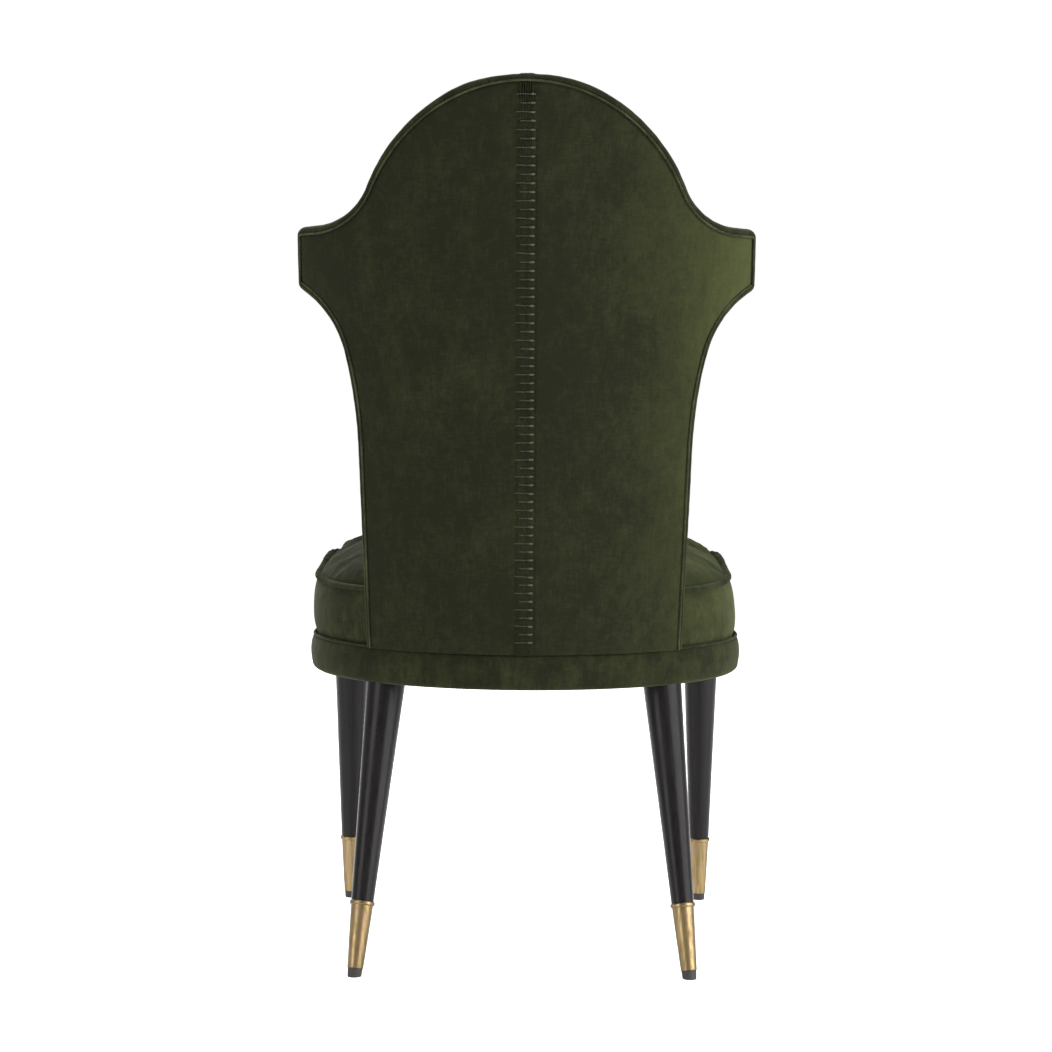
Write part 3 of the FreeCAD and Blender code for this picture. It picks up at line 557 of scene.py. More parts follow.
beech, tree, shader = newMaterial("planedBeech")
coords = tree.nodes.new("ShaderNodeTexCoord")
mapping = addNode(tree, "ShaderNodeMapping", Scale=(30, 30, 220))
tree.links.new(coords.outputs["Object"], mapping.inputs["Vector"])
flecks = addNode(tree, "ShaderNodeTexNoise", Scale=1.0, Detail=5.0)
tree.links.new(mapping.outputs[0], flecks.inputs["Vector"])
stops = [(0.3, (0.36, 0.22, 0.12)), (0.7, (0.55, 0.38, 0.23))]
tree.links.new(ramp(tree, flecks.outputs["Fac"], stops).outputs["Color"], shader.inputs["Base Color"])
shader.inputs["Roughness"].default_value = 0.6

jute, tree, shader = newMaterial("juteWebbing")
coords = tree.nodes.new("ShaderNodeTexCoord")
weave = addNode(tree, "ShaderNodeTexWave", Scale=220.0, Distortion=2.0, Detail=2.0)
tree.links.new(coords.outputs["Object"], weave.inputs["Vector"])
stops = [(0.2, (0.20, 0.135, 0.070)), (0.8, (0.42, 0.31, 0.18))]
tree.links.new(ramp(tree, weave.outputs["Fac"], stops).outputs["Color"], shader.inputs["Base Color"])
shader.inputs["Roughness"].default_value = 0.9

finishes = {
    "black_lacquer": lacquer,
    "aged_brass": brass,
    "glide_rubber": rubber,
    "lining_cloth": lining,
    "zinc_steel": zinc,
    "beech": beech,
    "velvet": velvet,
    "thread": threadDark,
    "jute_webbing": jute,
    "foam": velvet,
    "wadding": velvet,
}
slotOf = {s["node"]: s["material_slot"] for s in frame["record"]["subparts"]}
for name, node in frame["nodes"].items():
    for k in range(len(node.material_slots)):
        node.material_slots[k].material = finishes[slotOf[name]]
print("finishes made")


# sizes of the laddered seam

ladder = dict(
    pitch=0.0100,
    lowMargin=0.012,
    topMargin=0.0150,
    middle=-0.0004,  # a little off the middle line
    halfWidth=0.0094,
    long=0.0214,
    short=0.0166,
    bar=0.00078,  # thread radius of a rung
    knot=0.00135,  # radius of the wrapped end
    knotLength=0.0050,
    gathers=0.0027,  # pitch of the small upright folds between the rungs
)

# rolled edge round the back

rim = dict(
    seamInset=0.0064,  # from the frame's edge to the seam on the outer face
    seamDepth=0.0021,
    rollProud=0.0006,  # how far the roll stands behind the outer face
    overhang=0.0030,  # how far it stands out past the frame
    outerRound=0.0075,
    apexFlat=0.0022,  # how much flatter the arch is at its top
    frontInset=0.0125,
    frontRound=0.017,
)


def rimProfile():
    # inset from the edge and depth from the outer face, from the outer seam round to the front one
    thick = backShape["thickness"]
    r, f, over = rim["outerRound"], rim["frontRound"], rim["overhang"]
    inset, proud = rim["seamInset"], rim["rollProud"]
    points = [(inset, 0.012), (inset, rim["seamDepth"] + 0.002), (inset - 0.0002, rim["seamDepth"])]
    points.append((inset - 0.0010, 0.0002))
    for k in range(12):
        a = math.radians(90 * k / 11)
        edgeReach = inset - 0.0022
        points.append((edgeReach - (edgeReach + over) * math.sin(a), -proud + (r + proud) * (1 - math.cos(a))))
    for k in range(1, 8):
        t = k / 8
        points.append((-over * (1 - t) ** 1.5 - 0.0006 * math.sin(math.pi * t), r + (thick - f - r) * t))
    for k in range(11):
        a = math.radians(90 * k / 10)
        points.append((rim["frontInset"] * (1 - math.cos(a)), thick - f + f * math.sin(a)))
    points.append((rim["frontInset"] + 0.0012, thick - 0.0016))
    points.append((rim["frontInset"] + 0.0014, thick - 0.010))
    return points


def rimRows():
    profile = rimProfile()
    rows = []
    for rear, front in zip(rearRim, frontRim):
        topShare = smoothStep(backTop - 0.02, backTop - 0.002, rear[0].z)
        flatter = rim["apexFlat"] * bell(rear[0].x, 0.050) * topShare
        nub = 0.0009 * (1 - smoothStep(0.0060, 0.0105, abs(rear[0].x - ladder["middle"])))
        nub *= smoothStep(backTop - 0.02, backTop - 0.002, rear[0].z)
        row = []
        for inset, depth in profile:
            t = smoothStep(0.006, 0.040, depth)
            place, outward, inward = (a.lerp(b, t) for a, b in zip(rear, front))
            outer = 1 - smoothStep(0.0, rim["seamInset"], inset)
            spot = place - outward * (inset + (flatter - nub) * outer) + inward * depth
            crease = 0.00035 * wave(spot, 0.011, 3.0) + 0.0005 * wave(spot, 0.05, 9.0)
            row.append(spot + outward * crease)
        rows.append(row)
    return rows


rolledEdge = gridMesh("backRolledEdge", rimRows(), closeAcross=True)
keepPiece("backRolledEdge", rolledEdge, velvetTrim, ("back_edge_band", "back_edge_padding"))
print("rolled edge made")


# outside back, two halves on either side of the laddered seam

outsideBack = dict(
    crown=0.0022, crownReach=0.045, seamDip=0.0017, seamReach=0.0034, thickness=0.0016, rows=420
)


def insetOutline(right, distance):
    # the right half of an outline moved in along the surface
    moved = []
    half = outlineFrames(right)
    if half[0][1].x < 0:
        half = [(p, -o, n) for p, o, n in half]
    for place, outward, inward in half:
        spot = place - outward * distance
        planReach = spot.x * backRadius(spot.z) / math.hypot(spot.x, spot.y - centreY)
        moved.append(Vector((max(0.0, planReach), spot.z)))
    moved[-1].x = 0.0
    return moved


def patchRows(side, rowCount, columns):
    # a four-sided net over half the back: base, side and wing, arch, and the middle line
    total = len(side)
    split = max(range(total), key=lambda i: (side[i].y > backTop - 0.10 and side[i].x > 0.10) * i)
    rightEdge = evenly(side[: split + 1], 0.0015)
    topEdge = evenly(side[split:], 0.0015)[::-1]

    def at(line, t):
        place = t * (len(line) - 1)
        k = min(int(place), len(line) - 2)
        return line[k].lerp(line[k + 1], place - k)

    low, high = side[0].y, side[-1].y
    cornerA, cornerB = Vector((0, low)), side[0]
    cornerC, cornerD = rightEdge[-1], Vector((0, high))
    rows = []
    for i in range(rowCount + 1):
        v = i / rowCount
        right = at(rightEdge, v)
        left = Vector((0, low + (high - low) * v))
        row = []
        for u in columns:
            bottom = cornerA.lerp(cornerB, u)
            top = at(topEdge, u)
            spot = left.lerp(right, u) + bottom.lerp(top, v)
            spot -= cornerA.lerp(cornerB, u).lerp(cornerD.lerp(cornerC, u), v)
            row.append(spot)
        rows.append(row)
    return rows


def borderTree(side):
    fine = evenly(side, 0.002)
    tree = kdtree.KDTree(len(fine))
    for i, p in enumerate(fine):
        tree.insert(onBack(p.x, p.y), i)
    tree.balance()
    return tree


stitchLow = bandTop + 0.003 + ladder["lowMargin"]
stitchHigh = backTop - ladder["topMargin"]
stitchCount = int((stitchHigh - stitchLow) / ladder["pitch"]) + 1
stitchHeights = [stitchLow + k * ladder["pitch"] for k in range(stitchCount)]


def ladderDepth(x, z):
    # how far the cloth is drawn in round the laddered seam, which itself stands up a little
    side = x - ladder["middle"]
    across = abs(side)
    if across > 0.06:
        return 0.0
    half = ladder["halfWidth"]
    inStrip = 1 - smoothStep(half - 0.001, half + 0.003, across)
    depth = -0.0009 * inStrip + 0.0010 * bell(across - half - 0.0012, 0.0016) + 0.0011 * bell(side, 0.0009)
    nearest = min(stitchHeights, key=lambda h: abs(h - z))
    off = nearest - z
    if abs(off) < ladder["pitch"]:
        depth += 0.0010 * bell(off, 0.0022) * inStrip
    strength = 0.00060 * (1 + 0.9 * wave((x * 40, z, 0), 0.016, 8.0))
    strength += 0.0009 * smoothStep(backTop - 0.030, backTop - 0.020, z)
    depth += strength * inStrip * math.cos(side * 2 * math.pi / ladder["gathers"])
    # slanting puckers fan out from the ends of the rungs
    pull = smoothStep(half, half + 0.003, across) * bell(across - half, 0.017)
    slant = math.cos((z + across * 0.55) * 2 * math.pi / ladder["pitch"])
    return depth + pull * (0.00032 * slant + 0.0004 * wave((x * 0.4, z, 5.0), 0.012, 1.7))


def outsideHalf(sign, name, nodes):
    side = insetOutline(rightRear, rim["seamInset"] - 0.0002)
    columns = [0.0045 * k for k in range(17)]
    while columns[-1] < 0.90:
        columns.append(columns[-1] + 0.025)
    columns += [0.93, 0.95, 0.965, 0.978, 0.988, 0.995, 1.0]
    net = patchRows(side, outsideBack["rows"], columns)
    border = borderTree(side)
    rows = []
    for line in net:
        row = []
        for spot in line:
            x = sign * spot.x + ladder["middle"] * bell(spot.x, 0.06)
            base = onBack(x, spot.y)
            _, _, far = border.find(onBack(spot.x, spot.y))
            depth = outsideBack["seamDip"] * bell(far, outsideBack["seamReach"])
            depth -= outsideBack["crown"] * (1 - math.exp(-far / outsideBack["crownReach"]))
            depth += ladderDepth(x, spot.y)
            depth += 0.0007 * wave(base, 0.09, 2.0) + 0.00025 * wave(base, 0.022, 7.0)
            row.append(onBack(x, spot.y, depth))
        rows.append(row if sign < 0 else row[::-1])
    piece = keepPiece(name, gridMesh(name, rows), velvet, nodes)
    solid = piece.modifiers.new("thickness", "SOLIDIFY")
    solid.thickness = outsideBack["thickness"]
    solid.offset = -1.0
    solid.use_even_offset = False
    applyModifiers(piece)


outsideHalf(-1, "outsideBackLeft", ("outside_back_left",))
outsideHalf(1, "outsideBackRight", ("outside_back_right", "outside_back_padding"))
print("outside back made")


def tubeRows(path, radius, sides):
    rows = []
    for i, place in enumerate(path):
        ahead = path[min(i + 1, len(path) - 1)] - path[max(i - 1, 0)]
        along = ahead.normalized()
        side = along.cross(Vector((place.x, place.y - centreY, 0))).normalized()
        other = along.cross(side)
        r = radius(i / (len(path) - 1)) if callable(radius) else radius
        turns = [2 * math.pi * k / sides for k in range(sides)]
        rows.append([place + (side * math.cos(a) + other * math.sin(a)) * r for a in turns])
    return rows


def ladderParts():
    bars, knots = [], []
    start = ladder["middle"] - ladder["halfWidth"]
    for k, z in enumerate(stitchHeights):
        length = ladder["long"] if k % 2 == 0 else ladder["short"]
        slope = 0.0010 * wave((0, z * 7, 0), 0.02, 12.0)
        heavy = 1 + 0.22 * wave((0, z * 9, 0), 0.02, 21.0)
        wrapped = ladder["knotLength"] * (1 + 0.30 * wave((0, z * 11, 0), 0.02, 33.0))

        def along(first, last, rise, ends, count=17):
            path = []
            for j in range(count):
                t = j / (count - 1)
                x = first + (last - first) * t
                sway = slope * ((x - start) / length - 0.5) * 2 + 0.0003 * wave((x, z * 3, 0), 0.006, 4.0)
                drop = ends * (bell(t, 0.12) + bell(t - 1, 0.12))
                path.append(onBack(x, z + sway, ladderDepth(x, z) * 0.5 - outsideBack["crown"] - rise + drop))
            return path

        bars.append(tubeRows(along(start, start + length, 0.0004, 0.0010), ladder["bar"] * heavy, 8))
        size = ladder["knot"] * heavy
        wrap = along(start - 0.0003, start + wrapped, 0.0007, 0.0009)
        knots.append(tubeRows(wrap, lambda t: size * (0.55 + 0.45 * math.sin(math.pi * t) ** 0.5), 10))
    return bars, knots


bars, knots = ladderParts()
keepPiece("backSeamRungs", tubesMesh("backSeamRungs", bars), threadDark, ("centre_seam_stitching",))
# the knots take the lit copy of the thread: painted highlight
keepPiece("backSeamKnots", tubesMesh("backSeamKnots", knots), threadLitCopy, ())
print("laddered seam made")


# piped seam just inside the rolled edge

edgePiping = dict(inset=0.0074, radius=0.0013, depth=-0.0009)


pipingPath = [p - out * edgePiping["inset"] + inward * edgePiping["depth"] for p, out, inward in rearRim]
pipingMesh = tubesMesh("backEdgePiping", [tubeRows(pipingPath, edgePiping["radius"], 10)])
keepPiece("backEdgePiping", pipingMesh, velvetPiping, ("back_edge_piping",))
print("piping made")


# inside back, one tight pad

insideBack = dict(crown=0.016, crownReach=0.085, lumbar=0.010, rows=120, swell=0.007, voxel=0.0055)


def insideNet():
    side = insetOutline(rightFront, rim["frontInset"] + 0.001)
    columns = [0.0] + [0.04 * k for k in range(1, 24)] + [0.95, 0.975, 0.99, 1.0]
    net = patchRows(side, insideBack["rows"], columns)
    return net, borderTree(side)


def insideBackMesh():
    net, border = insideNet()
    front, rear = [], []
    thick = backShape["thickness"]
    for line in net:
        frontRow, rearRow = [], []
        whole = [(-p.x, p.y) for p in reversed(line[1:])] + [(p.x, p.y) for p in line]
        for x, z in whole:
            _, _, far = border.find(onBack(abs(x), z))
            crown = insideBack["crown"] * (1 - math.exp(-far / insideBack["crownReach"]))
            crown += insideBack["lumbar"] * bell(z - 0.62, 0.11) * (1 - math.exp(-far / 0.05))
            edge = 0.004 * bell(far, 0.006)
            frontRow.append(onBack(x, z, thick - 0.004 - edge + crown))
            rearRow.append(onBack(x, z, thick - 0.020))
        front.append(frontRow)
        rear.append(rearRow)
    verts = [p for row in front for p in row] + [p for row in rear for p in row]
    width = len(front[0])
    height = len(front)
    half = width * height
    faces = []
    for a, b, c, d in gridFaces(height, width):
        faces.append((a, b, c, d))
        faces.append((half + a, half + d, half + c, half + b))
    loop = list(range(width))
    loop += [i * width + width - 1 for i in range(1, height)]
    loop += [(height - 1) * width + j for j in reversed(range(width - 1))]
    loop += [i * width for i in reversed(range(1, height - 1))]
    for a, b in zip(loop, loop[1:] + loop[:1]):
        faces.append((b, a, half + a, half + b))
    return newMesh("insideBack", verts, faces)


def plump(piece, voxel, pressure, cap, pinned, steps=20):
    # swells a padded piece as cloth under light pressure, held where pinned says, then fixes the shape
    remesh = piece.modifiers.new("remesh", "REMESH")
    remesh.mode = "VOXEL"
    remesh.voxel_size = voxel
    remesh.use_smooth_shade = True
    applyModifiers(piece)
    mesh = piece.data
    start = [v.co.copy() for v in mesh.vertices]
    group = piece.vertex_groups.new(name="held")
    for v in mesh.vertices:
        weight = pinned(v.co)
        if weight > 0:
            group.add([v.index], weight, "REPLACE")
    cloth = piece.modifiers.new("cloth", "CLOTH")
    settings = cloth.settings
    settings.quality = 5
    settings.mass = 0.3
    settings.use_pressure = True
    settings.uniform_pressure_force = pressure
    settings.effector_weights.gravity = 0
    settings.tension_stiffness = 18
    settings.compression_stiffness = 18
    settings.bending_stiffness = 0.6
    settings.vertex_group_mass = "held"
    cloth.collision_settings.use_collision = False
    cloth.point_cache.frame_start = 1
    cloth.point_cache.frame_end = steps
    scene = bpy.context.scene
    for k in range(1, steps + 1):
        scene.frame_set(k)
    evaluated = piece.evaluated_get(bpy.context.evaluated_depsgraph_get())
    moved = [v.co.copy() for v in evaluated.data.vertices]
    piece.modifiers.clear()
    scene.frame_set(1)
    for v, before, after in zip(mesh.vertices, start, moved):
        step = after - before
        if step.length > cap:
            step = step.normalized() * cap
        v.co = before + step
    mesh.update()
    piece.vertex_groups.clear()


def relax(piece, factor, times):
    smooth = piece.modifiers.new("relax", "SMOOTH")
    smooth.factor = factor
    smooth.iterations = times
    applyModifiers(piece)


def refine(piece, levels=1):
    finer = piece.modifiers.new("finer", "SUBSURF")
    finer.levels = levels
    finer.render_levels = levels
    applyModifiers(piece)


insideSide = insetOutline(rightFront, rim["frontInset"] + 0.001)
insideBorder = borderTree(insideSide)


def insideHeld(co):
    radius = math.hypot(co.x, co.y - centreY)
    depth = backRadius(co.z) - radius
    _, _, far = insideBorder.find(onBack(abs(co.x) * backRadius(co.z) / radius, co.z))
    rearward = 1 - smoothStep(backShape["thickness"] - 0.016, backShape["thickness"] - 0.006, depth)
    return max(rearward, 1 - smoothStep(0.004, 0.018, far))


insidePiece = keepPiece("insideBack", insideBackMesh(), velvetSeat, ("inside_back_cover", "back_foam"))
plump(insidePiece, insideBack["voxel"], 4.0, insideBack["swell"], insideHeld)
relax(insidePiece, 0.5, 3)
refine(insidePiece)
print("inside back made")


# seat: plan, band, boxing, flange and domed cushion

seatPlanSizes = dict(frontCorner=0.060, frontBow=1.400)


def seatPlan(step):
    # right half of the seat's plan: place and outward direction, from the rear middle to the front middle
    corner, bow = seatPlanSizes["frontCorner"], seatPlanSizes["frontBow"]
    bowCentre = frontY + bow
    cornerX = seatRadius - corner
    cornerY = bowCentre - math.sqrt((bow - corner) ** 2 - cornerX ** 2)
    centre = Vector((0, centreY))
    found = []
    for k in range(121):
        a = math.radians(90 - 90 * k / 120)
        found.append(centre + Vector((math.cos(a), math.sin(a))) * seatRadius)
    found.append(Vector((seatRadius, cornerY)))
    end = math.degrees(math.atan2(cornerY - bowCentre, cornerX))
    found += arcRun(Vector((cornerX, cornerY)), corner, 0, end, 0.003)
    found += arcRun(Vector((0, bowCentre)), bow, end, -90, 0.01)
    line = evenly(found, step)
    frames = []
    for i, p in enumerate(line):
        along = line[min(i + 1, len(line) - 1)] - line[max(i - 1, 0)]
        out = Vector((-along.y, along.x)).normalized()
        if out.dot(p - Vector((0, centreY - 0.05))) < 0:
            out = -out
        frames.append((p, out))
    frames[0] = (frames[0][0], Vector((0, 1)))
    frames[-1] = (frames[-1][0], Vector((0, -1)))
    return frames


def bothSides(frames):
    # the right half's frames, then the same ones mirrored, back to the start
    return frames + [(Vector((-p.x, p.y)), Vector((-o.x, o.y))) for p, o in frames[-2::-1]]


rightPlan = seatPlan(0.004)
wholePlan = bothSides(rightPlan)[:-1]

seam = dict(rear=0.4625, rise=0.0235, riseFrom=0.150, riseTo=0.500)  # top seam's height, and where it climbs


def seamHeight(y):
    forward = rearY - y
    return seam["rear"] + seam["rise"] * smoothStep(seam["riseFrom"] - 0.06, seam["riseTo"] + 0.08, forward)


# below: how far the band rolls under its frame
bandLook = dict(bulge=0.0032, topInset=0.0016, bottomRound=0.0100, below=0.0026)


seatDrift = 0.0032  # the top of the seat sits a little to one side of its band


def ringRows(frames, profile):
    # profile gives inset and height for a place along the ring
    rows = []
    for k, (p, out) in enumerate(frames):
        row = []
        for inset, z in profile(p, k):
            row.append(Vector((p.x - out.x * inset, p.y - out.y * inset, z)))
        rows.append(row)
    return rows


def bandProfile(p, k):
    tall = bandTop - bandBottom + bandLook["below"]
    points = []
    for j in range(13):
        t = j / 12
        z = bandTop + 0.0004 - (tall - bandLook["bottomRound"] * 0.8) * t
        pinch = bandLook["topInset"] * math.exp(-t * 9)
        inset = pinch - bandLook["bulge"] * math.sin(math.pi * min(1.0, t * 0.86) ** 0.9) + 0.0008
        ripple = 0.00045 * wave((p.x, p.y, z), 0.06, 4.0) + 0.00022 * wave((p.x, p.y, z * 0.4), 0.016, 8.0)
        points.append((inset + ripple, z))
    r = bandLook["bottomRound"]
    last = points[-1]
    for j in range(1, 8):
        a = math.radians(90 * j / 7)
        points.append((last[0] + r * (1 - math.cos(a)), last[1] - r * 0.8 * math.sin(a)))
    bottom = points[-1]
    points.append((bottom[0] + 0.006, bottom[1] + 0.0008))
    points.append((bottom[0] + 0.006, bottom[1] + 0.0040))
    points.append((0.0075, bandTop - 0.012))
    points.append((0.0060, bandTop - 0.001))
    return points


bandMesh = gridMesh("seatBand", ringRows(wholePlan, bandProfile), closeAcross=True, closeAlong=True)
bandPiece = keepPiece("seatBand", bandMesh, velvetBand, ("base_band_cover", "base_band_padding"))

bandPiping = dict(inset=0.0022, radius=0.0016, lift=0.0014, sides=10)


def bandPipingProfile(p, k):
    # a round section, as insets and heights
    radius = bandPiping["radius"]
    turns = [2 * math.pi * j / bandPiping["sides"] for j in range(bandPiping["sides"])]
    middle = bandTop + bandPiping["lift"]
    return [(bandPiping["inset"] - math.cos(a) * radius, middle + math.sin(a) * radius) for a in turns]


bandPipingRows = ringRows(wholePlan, bandPipingProfile)
bandPipingMesh = gridMesh("seatBandPiping", bandPipingRows, closeAcross=True, closeAlong=True)
keepPiece("seatBandPiping", bandPipingMesh, velvetTrim, ("base_band_welt",))
print("band made")

baseTurn = math.asin(backShape["baseWidth"] / 2 / seatRadius)  # where the back's side edge meets the seat


def turnOf(p):
    # degrees round from the rear middle, past ninety once the side runs straight
    if p.y < centreY:
        return 90 + (centreY - p.y) / 0.005
    return math.degrees(math.atan2(abs(p.x), p.y - centreY))


openPlan = bothSides([f for f in rightPlan if turnOf(f[0]) > math.degrees(baseTurn) - 4.0])

boxing = dict(lowInset=0.0068, topInset=0.0105, bulge=0.0062)


def boxingProfile(p, k):
    low = bandTop + 0.0012
    high = seamHeight(p.y)
    points = []
    for j in range(19):
        t = j / 18
        z = low + (high - low) * t
        inset = boxing["lowInset"] * (1 - t) + boxing["topInset"] * t
        round4 = 1 - abs(2 * t - 1) ** 2.6
        inset -= boxing["bulge"] * round4
        pucker = (bell(t, 0.22) + bell(t - 1, 0.22)) * wave((p.x, p.y, 0), 0.013, 6.0)
        inset += 0.00055 * pucker + 0.0010 * wave((p.x, p.y, z * 0.8), 0.075, 11.0) * round4
        points.append((inset - seatDrift * t * (1 if p.x > 0 else -1) * smoothStep(0.0, 0.05, abs(p.x)), z))
    points.append((0.018, high + 0.001))
    points.append((0.018, low))
    return points


boxingMesh = gridMesh("seatBoxing", ringRows(openPlan, boxingProfile), closeAcross=True)
boxingPiece = keepPiece("seatBoxing", boxingMesh, velvetSeat, ("seat_boxing",))
print("boxing made")

ruchedWelt = dict(
    inset=0.0112,
    out=0.0046,
    up=0.0038,
    upSides=0.0044,  # it stands taller round the sides and front
    ribPitch=0.0040,
    ribDepth=0.00085,
    cornerPitch=0.0150,  # deeper pleats where it turns the front corners
    cornerDepth=0.0015,
    start=64.0,
    full=84.0,
)


def weltRows():
    rows = []
    travelled = 0.0
    previous = None
    for p, out in openFine:
        if previous is not None:
            travelled += (p - previous).length
        previous = p
        gathered = 0.25 + 0.75 * smoothStep(ruchedWelt["start"], ruchedWelt["full"], turnOf(p))
        outward = Vector((out.x, out.y, 0))
        root = Vector((p.x + seatDrift, p.y, seamHeight(p.y) + 0.0006)) - outward * ruchedWelt["inset"]
        phase = travelled / ruchedWelt["ribPitch"] + 0.5 * wave((p.x, p.y, 0), 0.02, 3.0)
        rib = ruchedWelt["ribDepth"] * gathered * math.cos(2 * math.pi * phase)
        sideShare = smoothStep(95.0, 125.0, turnOf(p))
        taller = ruchedWelt["up"] + (ruchedWelt["upSides"] - ruchedWelt["up"]) * sideShare
        root.z += taller - ruchedWelt["up"]
        pleat = ruchedWelt["cornerDepth"] * bell(turnOf(p) - 118.0, 16.0)
        rib += pleat * math.cos(2 * math.pi * travelled / ruchedWelt["cornerPitch"])
        row = []
        for k in range(16):
            a = 2 * math.pi * k / 16
            outer = ruchedWelt["out"] + rib + 0.0004 * wave((p.x, p.y, math.sin(a)), 0.03, 5.0)
            tall = taller + rib
            row.append(root + outward * (outer * math.cos(a)) + Vector((0, 0, tall * math.sin(a))))
        rows.append(row)
    return rows


openFine = bothSides([f for f in seatPlan(0.0009) if turnOf(f[0]) > math.degrees(baseTurn) - 3.0])
keepPiece("seatRuchedWelt", tubesMesh("seatRuchedWelt", [weltRows()]), velvetTrim, ("seat_flange_welt",))
print("welt made")

cushion = dict(
    rise=0.0366,
    reach=0.044,
    shape=2.7,
    sideInset=0.0125,
    drift=0.0055,  # the filling sits a little to one side too
    voxel=0.0050,
    swell=0.022,
    under=0.020,
)


def cushionBorder():
    # closed line round the cushion's top, in plan
    line = []
    for p, out in openFine[::4]:
        line.append(p - out * cushion["sideInset"])
    topZ = seam["rear"] + 0.02
    inner = backRadius(topZ) - backShape["thickness"] - 0.0065
    sideTurn = math.degrees(baseTurn) - 1.0
    for k in range(61):
        a = math.radians(-sideTurn + 2 * sideTurn * k / 60)
        line.append(Vector((inner * math.sin(a), centreY + inner * math.cos(a))))
    return line


def cushionMesh():
    border = cushionBorder()
    loop = evenly(border + [border[0]], 0.005)[:-1]
    tree = kdtree.KDTree(len(loop))
    for i, p in enumerate(loop):
        tree.insert((p.x, p.y, 0), i)
    tree.balance()
    middle = Vector((0, (frontY + rearY) / 2 - 0.01))
    rings = [1.0, 0.985, 0.965, 0.94, 0.91, 0.87, 0.82, 0.76, 0.69, 0.6, 0.5, 0.4, 0.3, 0.2, 0.1]
    verts = []
    for f in rings:
        for p in loop:
            spot = middle + (p - middle) * f
            _, _, far = tree.find((spot.x, spot.y, 0))
            t = min(1.0, far / cushion["reach"])
            plumpEdge = (1 - (1 - t) ** cushion["shape"]) ** (1 / cushion["shape"])
            broad = 1 - (1 - min(1.0, far / 0.22)) ** 2
            z = seamHeight(spot.y) + cushion["rise"] * (0.74 * plumpEdge + 0.26 * broad)
            drift = seatDrift + (cushion["drift"] - seatDrift) * smoothStep(0.0, 0.03, z - seamHeight(spot.y))
            verts.append(Vector((spot.x + drift, spot.y, z)))
    count = len(loop)
    top = len(verts)
    verts.append(Vector((middle.x, middle.y, seamHeight(middle.y) + cushion["rise"])))
    for f in (1.0, 0.6, 0.2):
        for p in loop:
            spot = middle + (p - middle) * f
            verts.append(Vector((spot.x, spot.y, seamHeight(spot.y) - cushion["under"])))
    bottom = len(verts)
    verts.append(Vector((middle.x, middle.y, seamHeight(middle.y) - cushion["under"])))
    faces = gridFaces(len(rings), count, closeAcross=True)
    last = (len(rings) - 1) * count
    for i in range(count):
        faces.append((last + i, last + (i + 1) % count, top))
    under = top + 1
    for i in range(count):
        j = (i + 1) % count
        faces.append((j, i, under + i, under + j))
        for k in range(2):
            a, b = under + k * count, under + (k + 1) * count
            faces.append((a + j, a + i, b + i, b + j))
        faces.append((under + 2 * count + j, under + 2 * count + i, bottom))
    return newMesh("seatCushion", verts, faces)


def cushionHeld(co):
    return 1 - smoothStep(0.001, 0.006, co.z - seamHeight(co.y))


# dark and the two heights after it set the painted shade low on the cushion's sides
topGathersAndShade = dict(gathers=900.0, gatherDepth=0.0008, dark=(0.0150, 0.0185, 0.0072), paintedShadeTo=0.026, lightAt=0.031)


def gatherTopAndPaintShade(material):
    # gathers run round the rim, and painted shade darkens the cushion's colour low on the sides
    tree = material.node_tree
    shader = tree.nodes["Principled BSDF"]
    coords = tree.nodes.new("ShaderNodeTexCoord")
    split = tree.nodes.new("ShaderNodeSeparateXYZ")
    tree.links.new(coords.outputs["Object"], split.inputs[0])

    def step(operation, first, second):
        node = tree.nodes.new("ShaderNodeMath")
        node.operation = operation
        for socket, value in zip(node.inputs, (first, second)):
            if isinstance(value, (int, float)):
                socket.default_value = value
            elif value is not None:
                tree.links.new(value, socket)
        return node.outputs[0]

    def band(lowEdge, highEdge):
        node = tree.nodes.new("ShaderNodeMapRange")
        node.interpolation_type = "SMOOTHSTEP"
        node.inputs["From Min"].default_value = seam["rear"] + lowEdge
        node.inputs["From Max"].default_value = seam["rear"] + highEdge
        tree.links.new(split.outputs["Z"], node.inputs["Value"])
        return node.outputs[0]

    turn = step("ARCTAN2", step("SUBTRACT", split.outputs["Y"], centreY), split.outputs["X"])
    ripple = step("SINE", step("MULTIPLY", turn, topGathersAndShade["gathers"] / 2), None)
    wander = addNode(tree, "ShaderNodeTexNoise", Scale=26.0, Detail=2.0)
    tree.links.new(coords.outputs["Object"], wander.inputs["Vector"])
    near = step("MULTIPLY", band(0.014, 0.026), wander.outputs["Fac"])
    bumpNode = addNode(tree, "ShaderNodeBump", Strength=0.8, Distance=topGathersAndShade["gatherDepth"])
    tree.links.new(step("MULTIPLY", ripple, near), bumpNode.inputs["Height"])
    tree.links.new(shader.inputs["Normal"].links[0].from_socket, bumpNode.inputs["Normal"])
    tree.links.new(bumpNode.outputs[0], shader.inputs["Normal"])
    # painted shade: the base colour darkens toward the low sides, below the lit top
    low = step("SUBTRACT", 1.0, band(topGathersAndShade["paintedShadeTo"] - 0.014, topGathersAndShade["lightAt"]))
    tone = shader.inputs["Base Color"].links[0].from_socket
    paintedShadeTone = mixColour(tree, step("MULTIPLY", low, 0.70), tone, topGathersAndShade["dark"])
    tree.links.new(paintedShadeTone, shader.inputs["Base Color"])


gatherTopAndPaintShade(velvetTop)
cushionPiece = keepPiece("seatCushion", cushionMesh(), velvetTop, ("seat_top_cover", "seat_foam"))
plump(cushionPiece, cushion["voxel"], 4.0, cushion["swell"], cushionHeld)
relax(cushionPiece, 0.5, 3)
refine(cushionPiece)
print("cushion made")


# floor, light and camera

